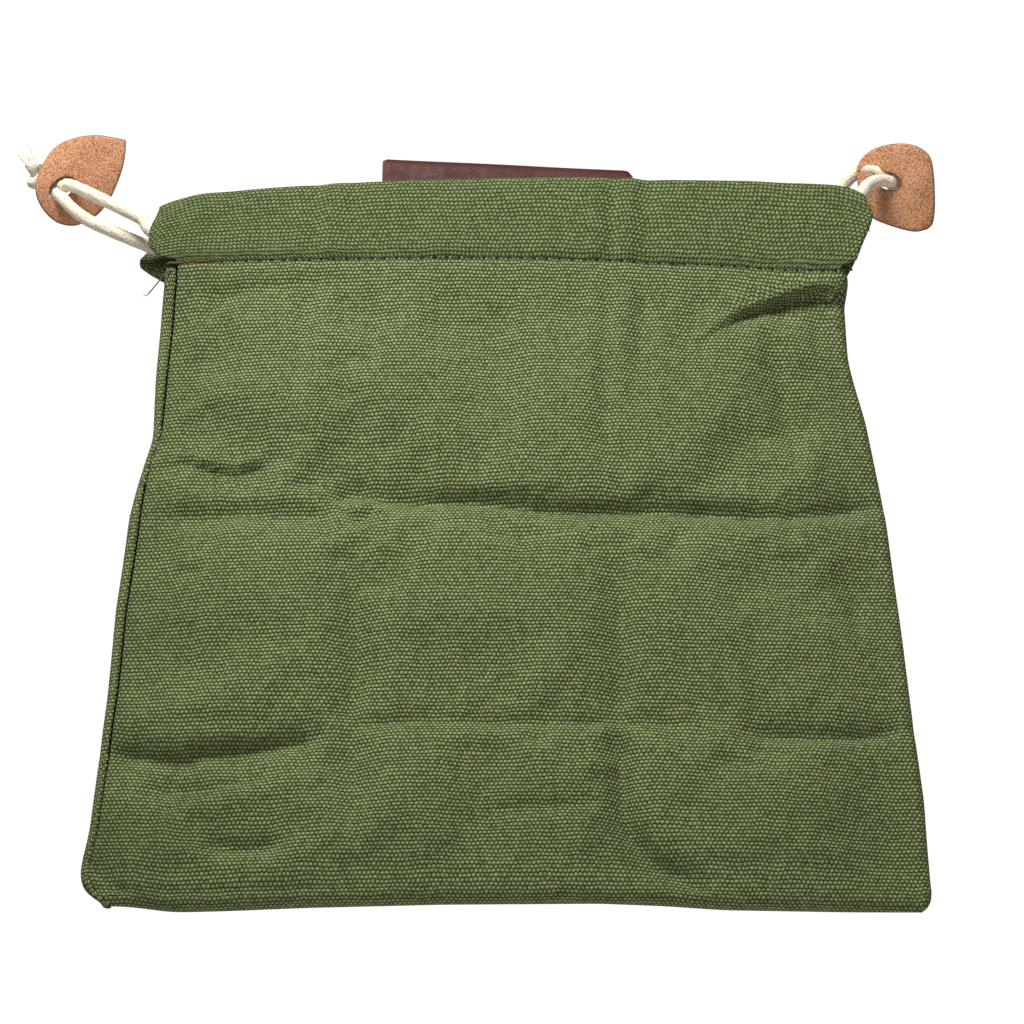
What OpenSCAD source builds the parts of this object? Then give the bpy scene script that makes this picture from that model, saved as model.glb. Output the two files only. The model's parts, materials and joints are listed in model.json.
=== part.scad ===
// Drawstring pouch of cotton canvas with two braided cords, two leaf-shaped
// leather cord tabs and a leather belt loop on the back.
// Units are millimetres. The bag stands upright: X across the bag, +Y towards
// the wearer, +Z up. Every module works in heights above the bottom edge and in
// depths from the middle of the mouth, and at_belt_slot() then moves the piece
// so that the origin is the centre of the belt slot.

/* [Bag] */

// Width of the bag at its bottom edge
bag_w = 250; // [236:2:270]
// Width of the bag at the main crease
crease_w = 242; // [232:2:250]
// Width of the bag at the waist, just under the casings
waist_w = 228; // [216:2:232]
// Length of the casings at the top of the bag
casing_w = 244; // [236:2:256]
// Height of the bag from bottom edge to top edge
bag_h = 252; // [240:2:280]
// Height of the main crease above the bottom edge
crease_z = 131; // [110:1:145]
// Thickness of the canvas
canvas_t = 0.8; // [0.5:0.1:1.0]
// Depth of the empty bag from front face to back face
body_t = 13.5; // [11:0.5:15]

/* [Casings and cords] */

// Height of the casings
casing_h = 32; // [30:1:38]
// Diameter of the braided cord
cord_d = 4.4; // [3.6:0.2:4.6]
// Gap between the cord and the inside of its casing
cord_gap = 0.25; // [0.15:0.05:0.5]
// Gap between the front and back casings at the mouth
mouth_gap = 5; // [3:0.5:8]
// Height of the left cord below the top edge
left_cord_drop = 20.5; // [19:0.5:23]
// Height of the right cord below the top edge
right_cord_drop = 7.5; // [6:0.5:12]
// Rise of the left cord's loose end above the horizontal, in degrees
left_rise = 37; // [25:1:45]
// Rise of the right cord's loose end above the horizontal, in degrees
right_rise = 60; // [45:1:65]
// Distance from the left end of the casings to the left tab's hole
left_reach = 36.5; // [30:0.5:60]
// Distance from the right end of the casings to the right tab's hole
right_reach = 18.5; // [18:0.5:40]

/* [Leather] */

// Radius of the broad end of a cord tab
tab_r = 15; // [13:0.5:16]
// Distance from a cord tab's hole to its tip
tab_tip = 28; // [24:1:34]
// Thickness of a cord tab
tab_t = 2; // [1.4:0.1:2.4]
// Width of the belt loop
loop_w = 88; // [70:2:100]
// Thickness of the belt loop's leather
leather_t = 2; // [1.6:0.1:2.6]
// Thickness of belt the loop takes, with its clearance
slot_t = 5; // [4:0.5:7]
// Width of belt the loop takes, with its clearance
slot_h = 52; // [42:1:56]
// Height of the loop's fold above the top edge of the bag
loop_rise = 18; // [10:1:22]

/* [Hidden] */

$fn = 96;
part_gap = 0.1;

cord_r = cord_d / 2;
casing_t = cord_d + 2 * cord_gap + 2 * canvas_t;
casing_y = mouth_gap / 2 + casing_t / 2;
casing_z = bag_h - casing_h;
casing_corner = 2.5;

back_y = mouth_gap / 2 + casing_t;
wall_r = body_t / 2;
body_y = back_y - wall_r;
front_y = back_y - body_t;

stitch_r = 0.35;
stitch_len = 2.8;
stitch_pitch = 4.2;
stitch_z = casing_z + 1.5;

left_z = bag_h - left_cord_drop;
right_z = bag_h - right_cord_drop;
exit_x = casing_w / 2 + cord_r + 0.3;
strand_end_x = casing_w / 2 - 22;
turn_start_x = casing_w / 2 - 18;
strand_offset = cord_r + 0.3;
knot_r = 6.5;
left_knot_at = left_reach + 16;
right_knot_at = right_reach + 16;
tab_tilt = 35;
left_turn = 19;
right_turn = 142;

loop_in_y = back_y + part_gap;
loop_out_y = loop_in_y + leather_t;
strap_in_y = loop_out_y + slot_t;
strap_out_y = strap_in_y + leather_t;
fold_y = loop_out_y + slot_t / 2;
fold_r = slot_t / 2 + leather_t;
fold_z = bag_h + loop_rise - fold_r;
slot_top = fold_z + slot_t / 2 - 1;
slot_bottom = slot_top - slot_h;
slant_z = slot_bottom - 6;
strap_end_z = slant_z - 16;
loop_end_z = strap_end_z - 10;
rivet_z = slant_z - 8;
rivet_x = loop_w / 2 - 10;
rivet_head_r = 4;
rivet_head_t = 1.2;
rivet_r = 1.6;

slot_y = fold_y;
slot_z = (slot_top + slot_bottom) / 2;

canvas_green = [0.40, 0.46, 0.30];
thread_brown = [0.30, 0.22, 0.15];
cord_cream = [0.93, 0.88, 0.78];
suede_tan = [0.76, 0.52, 0.36];
leather_brown = [0.33, 0.18, 0.16];
antique_brass = [0.55, 0.43, 0.24];

// Moves a piece so that the centre of the belt slot is the origin.
module at_belt_slot() {
    translate([0, -slot_y, -slot_z]) children();
}

// Mirrors a right-hand piece for the left side of the bag.
module on_side(side) {
    if (side < 0)
        mirror([1, 0, 0]) children();
    else
        children();
}

// Places a loose cord end's own frame at one end of the casings: x runs along
// the strands, away from the bag, and z is square to them, up towards the bag.
module at_cord_end(side, z, rise) {
    at_belt_slot()
        on_side(side)
            translate([exit_x, 0, z])
                rotate([0, -rise, 0])
                    children();
}

// A flat piece of canvas between two heights, narrower at one of them.
module panel(y, z0, z1, w0, w1) {
    half0 = w0 / 2 - wall_r - part_gap;
    half1 = w1 / 2 - wall_r - part_gap;
    translate([0, y + canvas_t, 0])
        rotate([90, 0, 0])
            linear_extrude(canvas_t)
                polygon([[-half0, z0], [half0, z0], [half1, z1], [-half1, z1]]);
}

// Half of a canvas tube's outline, on the side that faces away from the bag.
module half_ring(side) {
    intersection() {
        difference() {
            circle(wall_r);
            circle(wall_r - canvas_t);
        }
        translate([side > 0 ? 0 : -2 * wall_r, -2 * wall_r])
            square([2 * wall_r, 4 * wall_r]);
    }
}

// The rounded side of the bag between two heights.
module side_wall(side, z0, z1, w0, w1) {
    lean = atan2((w1 - w0) / 2, z1 - z0);
    spare = 5;
    intersection() {
        translate([side * (w0 / 2 - wall_r), body_y, z0])
            rotate([0, side * lean, 0])
                translate([0, 0, -spare])
                    linear_extrude(z1 - z0 + 2 * spare)
                        half_ring(side);
        translate([-bag_w, body_y - 2 * wall_r, z0])
            cube([2 * bag_w, 4 * wall_r, z1 - z0]);
    }
}

// A quarter of a hollow ball that closes one bottom corner of the bag.
module bottom_corner(side) {
    intersection() {
        translate([side * (bag_w / 2 - wall_r), body_y, wall_r])
            difference() {
                sphere(wall_r);
                sphere(wall_r - canvas_t);
            }
        translate([side > 0 ? bag_w / 2 - wall_r : -bag_w / 2 - wall_r, body_y - 2 * wall_r, -wall_r])
            cube([2 * wall_r, 4 * wall_r, 2 * wall_r]);
    }
}

// A rectangle with round corners, centred.
module rounded_rect(w, h, r) {
    square([w - 2 * r, h], center = true);
    square([w, h - 2 * r], center = true);
    for (x = [-1, 1], y = [-1, 1])
        translate([x * (w / 2 - r), y * (h / 2 - r)])
            circle(r);
}

// One cord casing: a flat canvas tube, open at both ends.
module casing(y) {
    channel_w = casing_t - 2 * canvas_t;
    channel_h = casing_h - 4.5;
    translate([0, y, casing_z + casing_h / 2])
        rotate([90, 0, 90])
            linear_extrude(casing_w, center = true)
                difference() {
                    rounded_rect(casing_t, casing_h, casing_corner);
                    translate([0, 1])
                        rounded_rect(channel_w, channel_h, channel_w / 2 - 0.01);
                }
}

// A straight row of stitches along X between two positions.
module stitch_row(x0, x1, y, z) {
    count = floor((x1 - x0) / stitch_pitch);
    for (i = [0:count - 1])
        translate([x0 + (i + 0.5) * (x1 - x0) / count - stitch_len / 2, y, z])
            rotate([0, 90, 0])
                cylinder(r = stitch_r, h = stitch_len);
}

// A straight row of stitches along Z between two heights.
module stitch_column(x, y, z0, z1) {
    count = floor((z1 - z0) / stitch_pitch);
    for (i = [0:count - 1])
        translate([x, y, z0 + (i + 0.5) * (z1 - z0) / count - stitch_len / 2])
            cylinder(r = stitch_r, h = stitch_len);
}

// A round strand from one point to another.
module strand(p, q, r) {
    v = q - p;
    translate(p)
        rotate([0, acos(v[2] / norm(v)), atan2(v[1], v[0])])
            cylinder(r = r, h = norm(v));
}

// The two strands of one cord inside the casings. They stop short of the far
// end, so the cord can be pulled out.
module drawcord(side, z) {
    start_x = exit_x - cord_r - 2 * part_gap;
    for (y = [-casing_y, casing_y])
        strand([side * start_x, y, z], [-side * strand_end_x, y, z], cord_r);
}

// The bend that joins a cord's two strands at the far end of the casings.
module cord_turn(side, z) {
    for (y = [-casing_y, casing_y])
        strand([side * turn_start_x, y, z], [side * exit_x, y, z], cord_r);
    translate([side * exit_x, 0, z])
        rotate([0, 0, side > 0 ? -90 : 90])
            rotate_extrude(angle = 180)
                translate([casing_y, 0])
                    circle(cord_r);
}

// The two strands outside the bag, from the ends of the casings to the knot.
// At the bend the two straight lengths run a little way into each other.
module cord_tail(knot_at, meet_at) {
    lap = 0.6;
    for (s = [-1, 1]) {
        start = [0, s * casing_y, 0];
        meet = [meet_at, 0, -s * strand_offset];
        finish = [knot_at - knot_r - 0.2, 0, -s * strand_offset];
        along = (meet - start) / norm(meet - start);
        strand(start, meet + lap * along, cord_r);
        strand(meet - [lap, 0, 0], finish, cord_r);
    }
}

// An overhand knot: a ball with a strand wound round it and two cut ends.
module knot(knot_at) {
    end_len = 10;
    wrap_r = knot_r - cord_r;
    translate([knot_at, 0, 0]) {
        sphere(knot_r);
        rotate([0, 60, 0])
            rotate_extrude()
                translate([wrap_r + 0.4, 0])
                    circle(cord_r);
        for (s = [-1, 1])
            strand([0, 0, s * strand_offset], [end_len, s * 1.5, s * (strand_offset + 1)], cord_r);
    }
}

// The outline of a leaf tab round its hole, with its tip towards +Y.
module leaf() {
    tangent_deg = acos(tab_r / tab_tip);
    tx = tab_r * sin(tangent_deg);
    ty = tab_r * cos(tangent_deg);
    circle(tab_r);
    polygon([[0, 0], [tx, ty], [0, tab_tip], [-tx, ty]]);
}

// A leaf tab threaded on both strands of a cord, and turned about its hole.
module cord_tab(reach, turn) {
    hole_r = cord_r + cord_gap;
    difference() {
        translate([reach, 0, 0])
            rotate([0, 0, -tab_tilt])
                rotate([90, 0, 0])
                    linear_extrude(tab_t, center = true)
                        rotate(turn)
                            leaf();
        for (s = [-1, 1])
            translate([reach - tab_r, 0, s * strand_offset])
                rotate([0, 90, 0])
                    cylinder(r = hole_r, h = 2 * tab_r);
        translate([reach - tab_r, -hole_r, -strand_offset])
            cube([2 * tab_r, 2 * hole_r, 2 * strand_offset]);
    }
}

// Leather of the loop's full width, from its outline seen from the side.
module loop_sheet() {
    rotate([90, 0, 90])
        linear_extrude(loop_w, center = true)
            children();
}

// The fold at the top of the belt loop and the two walls of the belt slot.
module loop_fold() {
    difference() {
        union() {
            translate([fold_y, fold_z]) circle(fold_r);
            translate([loop_in_y, slot_bottom])
                square([strap_out_y - loop_in_y, fold_z - slot_bottom]);
        }
        translate([fold_y, fold_z]) circle(slot_t / 2);
        translate([loop_out_y, slot_bottom - 1])
            square([slot_t, fold_z - slot_bottom + 1]);
    }
}

// The end of the loop below the belt slot, which comes back in to the leather
// that lies on the bag.
module loop_tongue() {
    lap = 2;
    in_y = loop_out_y + part_gap;
    out_y = in_y + leather_t;
    polygon([[strap_in_y, slot_bottom + lap], [strap_out_y, slot_bottom + lap],
             [strap_out_y, slot_bottom], [out_y, slant_z], [out_y, strap_end_z],
             [in_y, strap_end_z], [in_y, slant_z], [strap_in_y, slot_bottom]]);
}

// The leather that lies on the bag.
module loop_panel() {
    translate([loop_in_y, loop_end_z])
        square([leather_t, fold_z - loop_end_z]);
}

// The two rivets' places across the loop.
module at_rivets() {
    for (x = [-rivet_x, rivet_x])
        translate([x, loop_in_y, rivet_z])
            rotate([-90, 0, 0])
                children();
}

module front_panel_upper() {
    color(canvas_green) at_belt_slot()
        panel(front_y, crease_z + part_gap, casing_z - part_gap, crease_w, waist_w);
}

module front_panel_lower() {
    color(canvas_green) at_belt_slot()
        panel(front_y, wall_r + part_gap, crease_z - part_gap, bag_w, crease_w);
}

module back_panel_upper() {
    color(canvas_green) at_belt_slot()
        panel(back_y - canvas_t, crease_z + part_gap, casing_z - part_gap, crease_w, waist_w);
}

module back_panel_lower() {
    color(canvas_green) at_belt_slot()
        panel(back_y - canvas_t, wall_r + part_gap, crease_z - part_gap, bag_w, crease_w);
}

module side_seam_upper() {
    color(canvas_green) at_belt_slot()
        side_wall(-1, crease_z + part_gap, casing_z - part_gap, crease_w, waist_w);
}

module side_seam_lower() {
    color(canvas_green) at_belt_slot()
        side_wall(-1, wall_r + part_gap, crease_z - part_gap, bag_w, crease_w);
}

module side_fold_upper() {
    color(canvas_green) at_belt_slot()
        side_wall(1, crease_z + part_gap, casing_z - part_gap, crease_w, waist_w);
}

module side_fold_lower() {
    color(canvas_green) at_belt_slot()
        side_wall(1, wall_r + part_gap, crease_z - part_gap, bag_w, crease_w);
}

module bottom_seam() {
    color(canvas_green) at_belt_slot() {
        translate([0, body_y, wall_r])
            rotate([90, 0, 90])
                linear_extrude(bag_w - 2 * wall_r, center = true)
                    rotate([0, 0, -90])
                        half_ring(1);
        bottom_corner(-1);
        bottom_corner(1);
    }
}

module front_casing() {
    color(canvas_green) at_belt_slot() casing(-casing_y);
}

module back_casing() {
    color(canvas_green) at_belt_slot() casing(casing_y);
}

module front_hem_stitching() {
    y = -back_y - stitch_r - 0.05;
    color(thread_brown) at_belt_slot()
        stitch_row(-casing_w / 2 + 16, casing_w / 2 - 4, y, stitch_z);
}

module back_hem_stitching() {
    y = back_y + stitch_r + 0.05;
    leather_edge = loop_w / 2 + 2;
    color(thread_brown) at_belt_slot() {
        stitch_row(-casing_w / 2 + 4, -leather_edge, y, stitch_z);
        stitch_row(leather_edge, casing_w / 2 - 4, y, stitch_z);
    }
}

module bar_tacks() {
    tack_len = 11;
    y = -back_y - stitch_r - 0.05;
    color(thread_brown) at_belt_slot()
        for (row = [-1:1])
            translate([-casing_w / 2 + 3, y, stitch_z + row * 2 * stitch_r])
                rotate([0, 90, 0])
                    cylinder(r = stitch_r, h = tack_len);
}

module thread_tails() {
    y = -back_y - stitch_r - 0.05;
    left_x = -casing_w / 2;
    right_x = casing_w / 2;
    color(thread_brown) at_belt_slot() {
        strand([left_x + 7, y, stitch_z - 6], [left_x + 1, y, stitch_z - 15], stitch_r);
        strand([right_x - 3, y, bag_h - 12], [right_x + 0.5, y, bag_h - 20], stitch_r);
    }
}

module left_drawcord() {
    color(cord_cream) at_belt_slot() drawcord(-1, left_z);
}

module right_drawcord() {
    color(cord_cream) at_belt_slot() drawcord(1, right_z);
}

module left_cord_turn() {
    color(cord_cream) at_belt_slot() cord_turn(1, left_z);
}

module right_cord_turn() {
    color(cord_cream) at_belt_slot() cord_turn(-1, right_z);
}

module left_cord_tail() {
    color(cord_cream) at_cord_end(-1, left_z, left_rise) cord_tail(left_knot_at, 16);
}

module right_cord_tail() {
    color(cord_cream) at_cord_end(1, right_z, right_rise) cord_tail(right_knot_at, 11);
}

module left_knot() {
    color(cord_cream) at_cord_end(-1, left_z, left_rise) knot(left_knot_at);
}

module right_knot() {
    color(cord_cream) at_cord_end(1, right_z, right_rise) knot(right_knot_at);
}

module left_tab() {
    color(suede_tan) at_cord_end(-1, left_z, left_rise) cord_tab(left_reach, left_turn);
}

module right_tab() {
    color(suede_tan) at_cord_end(1, right_z, right_rise) cord_tab(right_reach, right_turn);
}

module belt_loop() {
    color(leather_brown) at_belt_slot()
        difference() {
            union() {
                loop_sheet() loop_fold();
                loop_sheet() loop_panel();
                loop_sheet() loop_tongue();
            }
            at_rivets() cylinder(r = rivet_r + 0.1, h = 3 * leather_t);
        }
}

module loop_stitching() {
    edge = 4;
    y = loop_out_y + stitch_r + 0.05;
    tab_y = y + leather_t + part_gap;
    color(thread_brown) at_belt_slot() {
        for (x = [-loop_w / 2 + edge, loop_w / 2 - edge])
            stitch_column(x, y, slot_bottom + 2, bag_h - 2);
        stitch_row(-loop_w / 2 + edge, loop_w / 2 - edge, y, loop_end_z + edge);
        stitch_row(-rivet_x + 6, rivet_x - 6, tab_y, rivet_z);
    }
}

module loop_rivets() {
    shank = 2 * leather_t + part_gap;
    color(antique_brass) at_belt_slot()
        at_rivets() {
            cylinder(r = rivet_r, h = shank + 0.1);
            translate([0, 0, shank + 0.05])
                cylinder(r = rivet_head_r, h = rivet_head_t);
        }
}

front_panel_upper();
front_panel_lower();
back_panel_upper();
back_panel_lower();
side_seam_upper();
side_seam_lower();
side_fold_upper();
side_fold_lower();
bottom_seam();
front_casing();
back_casing();
front_hem_stitching();
back_hem_stitching();
bar_tacks();
thread_tails();
left_drawcord();
right_drawcord();
left_cord_turn();
right_cord_turn();
left_cord_tail();
right_cord_tail();
left_knot();
right_knot();
left_tab();
right_tab();
belt_loop();
loop_stitching();
loop_rivets();
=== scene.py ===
"""The looks of a canvas drawstring pouch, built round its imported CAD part.

Shapes are worked out in bag coordinates, in millimetres: x across the bag,
y towards the wearer from the middle of the mouth, z up from the bottom edge.
place() turns them into the row frame, in metres.
"""

import json
import math

import bmesh
import bpy
import numpy as np
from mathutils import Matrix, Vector


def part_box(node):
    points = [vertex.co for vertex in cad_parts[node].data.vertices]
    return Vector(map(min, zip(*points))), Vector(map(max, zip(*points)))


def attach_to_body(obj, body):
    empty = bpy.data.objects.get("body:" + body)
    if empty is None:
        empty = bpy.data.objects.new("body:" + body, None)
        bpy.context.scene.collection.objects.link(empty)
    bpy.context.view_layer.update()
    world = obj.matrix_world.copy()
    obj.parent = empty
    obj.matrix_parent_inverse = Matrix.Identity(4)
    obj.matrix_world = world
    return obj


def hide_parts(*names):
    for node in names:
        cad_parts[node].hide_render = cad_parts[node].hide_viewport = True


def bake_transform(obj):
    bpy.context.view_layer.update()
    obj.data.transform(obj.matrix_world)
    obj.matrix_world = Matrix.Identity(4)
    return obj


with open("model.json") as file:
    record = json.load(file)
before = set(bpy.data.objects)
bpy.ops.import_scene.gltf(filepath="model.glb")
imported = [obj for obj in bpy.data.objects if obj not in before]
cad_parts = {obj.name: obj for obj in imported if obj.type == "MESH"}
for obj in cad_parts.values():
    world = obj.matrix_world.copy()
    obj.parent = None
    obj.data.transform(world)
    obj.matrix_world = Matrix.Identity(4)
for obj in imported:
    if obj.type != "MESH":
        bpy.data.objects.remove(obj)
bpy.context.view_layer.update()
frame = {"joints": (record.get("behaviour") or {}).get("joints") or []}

MM = 0.001


# ---------------------------------------------------------------- landmarks


def box_mm(node):
    """The lowest and highest corner of a CAD node, in row-frame millimetres."""
    low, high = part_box(node)
    return np.array(low) / MM, np.array(high) / MM


FRONT_CASING = box_mm("front_casing")
BACK_CASING = box_mm("back_casing")
BOTTOM = box_mm("bottom_seam")[0][2]
MOUTH_Y = (FRONT_CASING[1][1] + BACK_CASING[0][1]) / 2
ORIGIN = np.array([0.0, MOUTH_Y, BOTTOM])

CASING_Y = (BACK_CASING[0][1] + BACK_CASING[1][1]) / 2 - MOUTH_Y
CASING_HALF = (BACK_CASING[1][1] - BACK_CASING[0][1]) / 2
CASING_END = BACK_CASING[1][0]
BAG_TOP = FRONT_CASING[1][2] - BOTTOM
FRONT_Y = box_mm("front_panel_upper")[0][1] - MOUTH_Y
BACK_Y = box_mm("back_panel_upper")[1][1] - MOUTH_Y
CREASE_Z = box_mm("front_panel_upper")[0][2] - BOTTOM
BODY_Y = (FRONT_Y + BACK_Y) / 2
BODY_HALF = (BACK_Y - FRONT_Y) / 2
JOINTS = {joint["name"]: joint for joint in frame["joints"]}

# Height of the stitch line that closes the hem, along the middle of the bag
STITCH_Z = 220.0
# Height of the second crease across the bag
LOW_CREASE_Z = 57


def place(points):
    """Bag coordinates in millimetres to the row frame in metres."""
    return (np.asarray(points, float) + ORIGIN) * MM


def smooth(low, high, value):
    """A smooth step from 0 at low to 1 at high."""
    t = np.clip((value - low) / (high - low), 0.0, 1.0)
    return t * t * (3 - 2 * t)


def profile(value, knots):
    """A smooth curve through (position, amount) pairs, read at value."""
    at, amount = np.array(sorted(knots), float).T
    fine = np.linspace(at[0], at[-1], 160)
    raw = np.interp(fine, at, amount)
    kernel = np.hanning(9)
    padded = np.pad(raw, 4, mode="edge")
    soft = np.convolve(padded, kernel / kernel.sum(), mode="valid")
    return np.interp(value, fine, soft)


# ---------------------------------------------------------------- meshes


def weave_height(z):
    """Cloth map height at a height on the bag. The weft lies closer together
    towards the bottom edge, and more open in the hem."""
    knots = [(0, 0.0), (45, 50.4), (110, 120.6), (185, 197.9), (222, 234.8), (300, 300.5)]
    return np.interp(z, *np.array(knots).T)


def new_object(name, points, faces, uvs=None, material=None, shade=True):
    """A mesh object from bag coordinates, with an optional cloth map in mm."""
    mesh = bpy.data.meshes.new(name)
    mesh.from_pydata(place(points).tolist(), [], faces)
    if uvs is not None:
        layer = mesh.uv_layers.new(name="cloth")
        corner = np.zeros(len(mesh.loops), np.int32)
        mesh.loops.foreach_get("vertex_index", corner)
        layer.data.foreach_set("uv", np.asarray(uvs, np.float32)[corner].ravel())
    mesh.validate()
    obj = bpy.data.objects.new(name, mesh)
    bpy.context.scene.collection.objects.link(obj)
    if material is not None:
        mesh.materials.append(material)
    if shade:
        mesh.polygons.foreach_set("use_smooth", [True] * len(mesh.polygons))
    return obj


def grid_faces(rows, cols, start=0, wrap=False):
    """Quads of a row-by-column grid of vertices; wrap joins last to first column."""
    faces = []
    for r in range(rows - 1):
        for c in range(cols if wrap else cols - 1):
            a = start + r * cols + c
            b = start + r * cols + (c + 1) % cols
            faces.append((a, b, b + cols, a + cols))
    return faces


def both_sides(rows, cols, wrap=False):
    """Faces of a sheet's two layers of vertices, the second turned over."""
    count = rows * cols
    sheet = grid_faces(rows, cols, wrap=wrap)
    return sheet + [tuple(i + count for i in reversed(face)) for face in sheet]


def store(piece, name, values):
    """Keeps one number per vertex, for a material to read."""
    layer = piece.data.attributes.new(name, "FLOAT", "POINT")
    layer.data.foreach_set("value", np.asarray(values, np.float32))


def apply_modifiers(obj):
    """Replaces an object's mesh by the one its modifiers give."""
    graph = bpy.context.evaluated_depsgraph_get()
    mesh = bpy.data.meshes.new_from_object(obj.evaluated_get(graph))
    obj.modifiers.clear()
    obj.data = mesh


def clean(obj, merge_mm):
    """Merges vertices closer than merge_mm and turns all faces outwards."""
    bm = bmesh.new()
    bm.from_mesh(obj.data)
    bmesh.ops.remove_doubles(bm, verts=bm.verts, dist=merge_mm * MM)
    bmesh.ops.recalc_face_normals(bm, faces=bm.faces)
    bm.to_mesh(obj.data)
    bm.free()


def turn_out(obj):
    """Makes a sheet's normals point out of the bag, judged by its front."""
    front = min(obj.data.polygons, key=lambda face: face.center.y)
    if front.normal.y > 0:
        obj.data.flip_normals()


def join(name, parts, material):
    """One object from several (points, faces) pairs."""
    points, faces, count = [], [], 0
    for part_points, part_faces in parts:
        points.append(np.asarray(part_points, float))
        faces += [tuple(i + count for i in face) for face in part_faces]
        count += len(part_points)
    return new_object(name, np.concatenate(points), faces, material=material)


def attach(piece, nodes, body=None):
    """Hides the CAD nodes a piece stands for, and hangs the piece from
    the body it rides. A piece blended over a joint gives no body."""
    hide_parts(*nodes)
    if body is not None:
        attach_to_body(piece, body)
    return piece


# ---------------------------------------------------------------- materials


class Nodes:
    """Short calls for building a material's node tree."""

    def __init__(self, name):
        self.material = bpy.data.materials.new(name)
        self.material.use_nodes = True
        self.tree = self.material.node_tree
        self.shader = self.tree.nodes["Principled BSDF"]

    def node(self, kind, **values):
        made = self.tree.nodes.new(kind)
        for key, value in values.items():
            setattr(made, key, value)
        return made

    def feed(self, socket, value):
        if isinstance(value, bpy.types.NodeSocket):
            self.tree.links.new(value, socket)
        elif value is not None:
            socket.default_value = value

    def math(self, operation, *values):
        made = self.node("ShaderNodeMath", operation=operation)
        for socket, value in zip(made.inputs, values):
            self.feed(socket, value)
        return made.outputs[0]

    def times(self, a, b):
        return self.math("MULTIPLY", a, b)

    def plus(self, a, b):
        return self.math("ADD", a, b)

    def mix(self, factor, a, b):
        made = self.node("ShaderNodeMix", data_type="RGBA")
        self.feed(made.inputs["Factor"], factor)
        self.feed(made.inputs["A"], a)
        self.feed(made.inputs["B"], b)
        return made.outputs["Result"]

    def noise(self, vector, scale, detail=2.0, roughness=0.5):
        made = self.node("ShaderNodeTexNoise")
        self.feed(made.inputs["Vector"], vector)
        made.inputs["Scale"].default_value = scale
        made.inputs["Detail"].default_value = detail
        made.inputs["Roughness"].default_value = roughness
        return made.outputs["Fac"]

    def ramp(self, factor, low, high, low_value=0.0, high_value=1.0):
        made = self.node("ShaderNodeMapRange", interpolation_type="SMOOTHSTEP")
        self.feed(made.inputs["Value"], factor)
        made.inputs["From Min"].default_value = low
        made.inputs["From Max"].default_value = high
        made.inputs["To Min"].default_value = low_value
        made.inputs["To Max"].default_value = high_value
        return made.outputs["Result"]

    def bump(self, height, distance, strength=1.0, normal=None):
        made = self.node("ShaderNodeBump")
        self.feed(made.inputs["Height"], height)
        made.inputs["Distance"].default_value = distance
        made.inputs["Strength"].default_value = strength
        if normal is not None:
            self.feed(made.inputs["Normal"], normal)
        return made.outputs["Normal"]

    def coordinates(self, kind="Object"):
        return self.node("ShaderNodeTexCoord").outputs[kind]

    def finish(self, color, roughness, normal=None, sheen=0.0, sheen_tint=None):
        self.feed(self.shader.inputs["Base Color"], color)
        self.feed(self.shader.inputs["Roughness"], roughness)
        self.feed(self.shader.inputs["Normal"], normal)
        self.shader.inputs["Sheen Weight"].default_value = sheen
        self.shader.inputs["Sheen Roughness"].default_value = 0.5
        if sheen_tint is not None:
            self.shader.inputs["Sheen Tint"].default_value = sheen_tint
        return self.material


# Canvas weave: millimetres between weft rows, and between the floats of a row
WEFT_PITCH = 1.3
FLOAT_PITCH = 1.33

# CANVAS_DARK is the colour of painted shade in the weave's gaps, the hem and the low part, and it also
# darkens the left. CANVAS_LIGHT is a painted highlight on the weave's crowns, and the colour of faded crowns.
CANVAS_LIGHT = (0.286, 0.328, 0.149, 1)
CANVAS_MID = (0.136, 0.168, 0.066, 1)
CANVAS_DARK = (0.018, 0.034, 0.006, 1)


def canvas_weave(n, cloth):
    """A plain weave on the cloth map: thick weft floats in staggered rows over
    thin warp. Gives the place across and up, the thread's height and the fibre."""
    drift = n.node("ShaderNodeTexNoise")
    n.feed(drift.inputs["Vector"], cloth)
    drift.inputs["Scale"].default_value = 0.11
    drift.inputs["Detail"].default_value = 3.0
    wander = n.node("ShaderNodeVectorMath", operation="MULTIPLY_ADD")
    n.feed(wander.inputs[0], drift.outputs["Color"])
    wander.inputs[1].default_value = (1.1, 1.6, 0.0)
    n.feed(wander.inputs[2], cloth)
    split = n.node("ShaderNodeSeparateXYZ")
    n.feed(split.inputs[0], wander.outputs[0])
    across, up = split.outputs["X"], split.outputs["Y"]

    row = n.math("DIVIDE", up, WEFT_PITCH)
    row_index = n.math("FLOOR", row)
    shift = n.times(n.math("MODULO", row_index, 2.0), 0.5)
    col = n.plus(n.math("DIVIDE", across, FLOAT_PITCH), shift)
    col_index = n.math("FLOOR", col)
    in_row = n.math("SUBTRACT", n.math("FRACT", row), 0.5)
    in_col = n.math("SUBTRACT", n.math("FRACT", col), 0.5)

    cell = n.node("ShaderNodeCombineXYZ")
    n.feed(cell.inputs[0], col_index)
    n.feed(cell.inputs[1], row_index)
    chance = n.node("ShaderNodeTexWhiteNoise", noise_dimensions="2D")
    n.feed(chance.inputs["Vector"], cell.outputs[0])
    yarn = chance.outputs["Value"]

    row_arch = n.math("COSINE", n.times(in_row, math.pi))
    col_arch = n.math("COSINE", n.times(in_col, math.pi))
    weft = n.times(n.math("POWER", row_arch, 0.75), n.math("POWER", col_arch, 0.95))
    beside = n.math("SINE", n.math("ABSOLUTE", n.times(in_col, math.pi)))
    warp = n.times(n.math("POWER", beside, 5.0), n.math("POWER", row_arch, 0.8))
    height = n.math("MAXIMUM", weft, n.times(warp, 0.30))
    fibre = n.noise(cloth, 1.4, detail=5.0, roughness=0.80)
    slub = n.noise(cloth, 0.45, detail=2.0)
    uneven = n.plus(n.times(yarn, 0.55), n.times(slub, 0.50))
    thick = n.times(height, n.plus(uneven, 0.48))
    return across, up, thick, fibre


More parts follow.
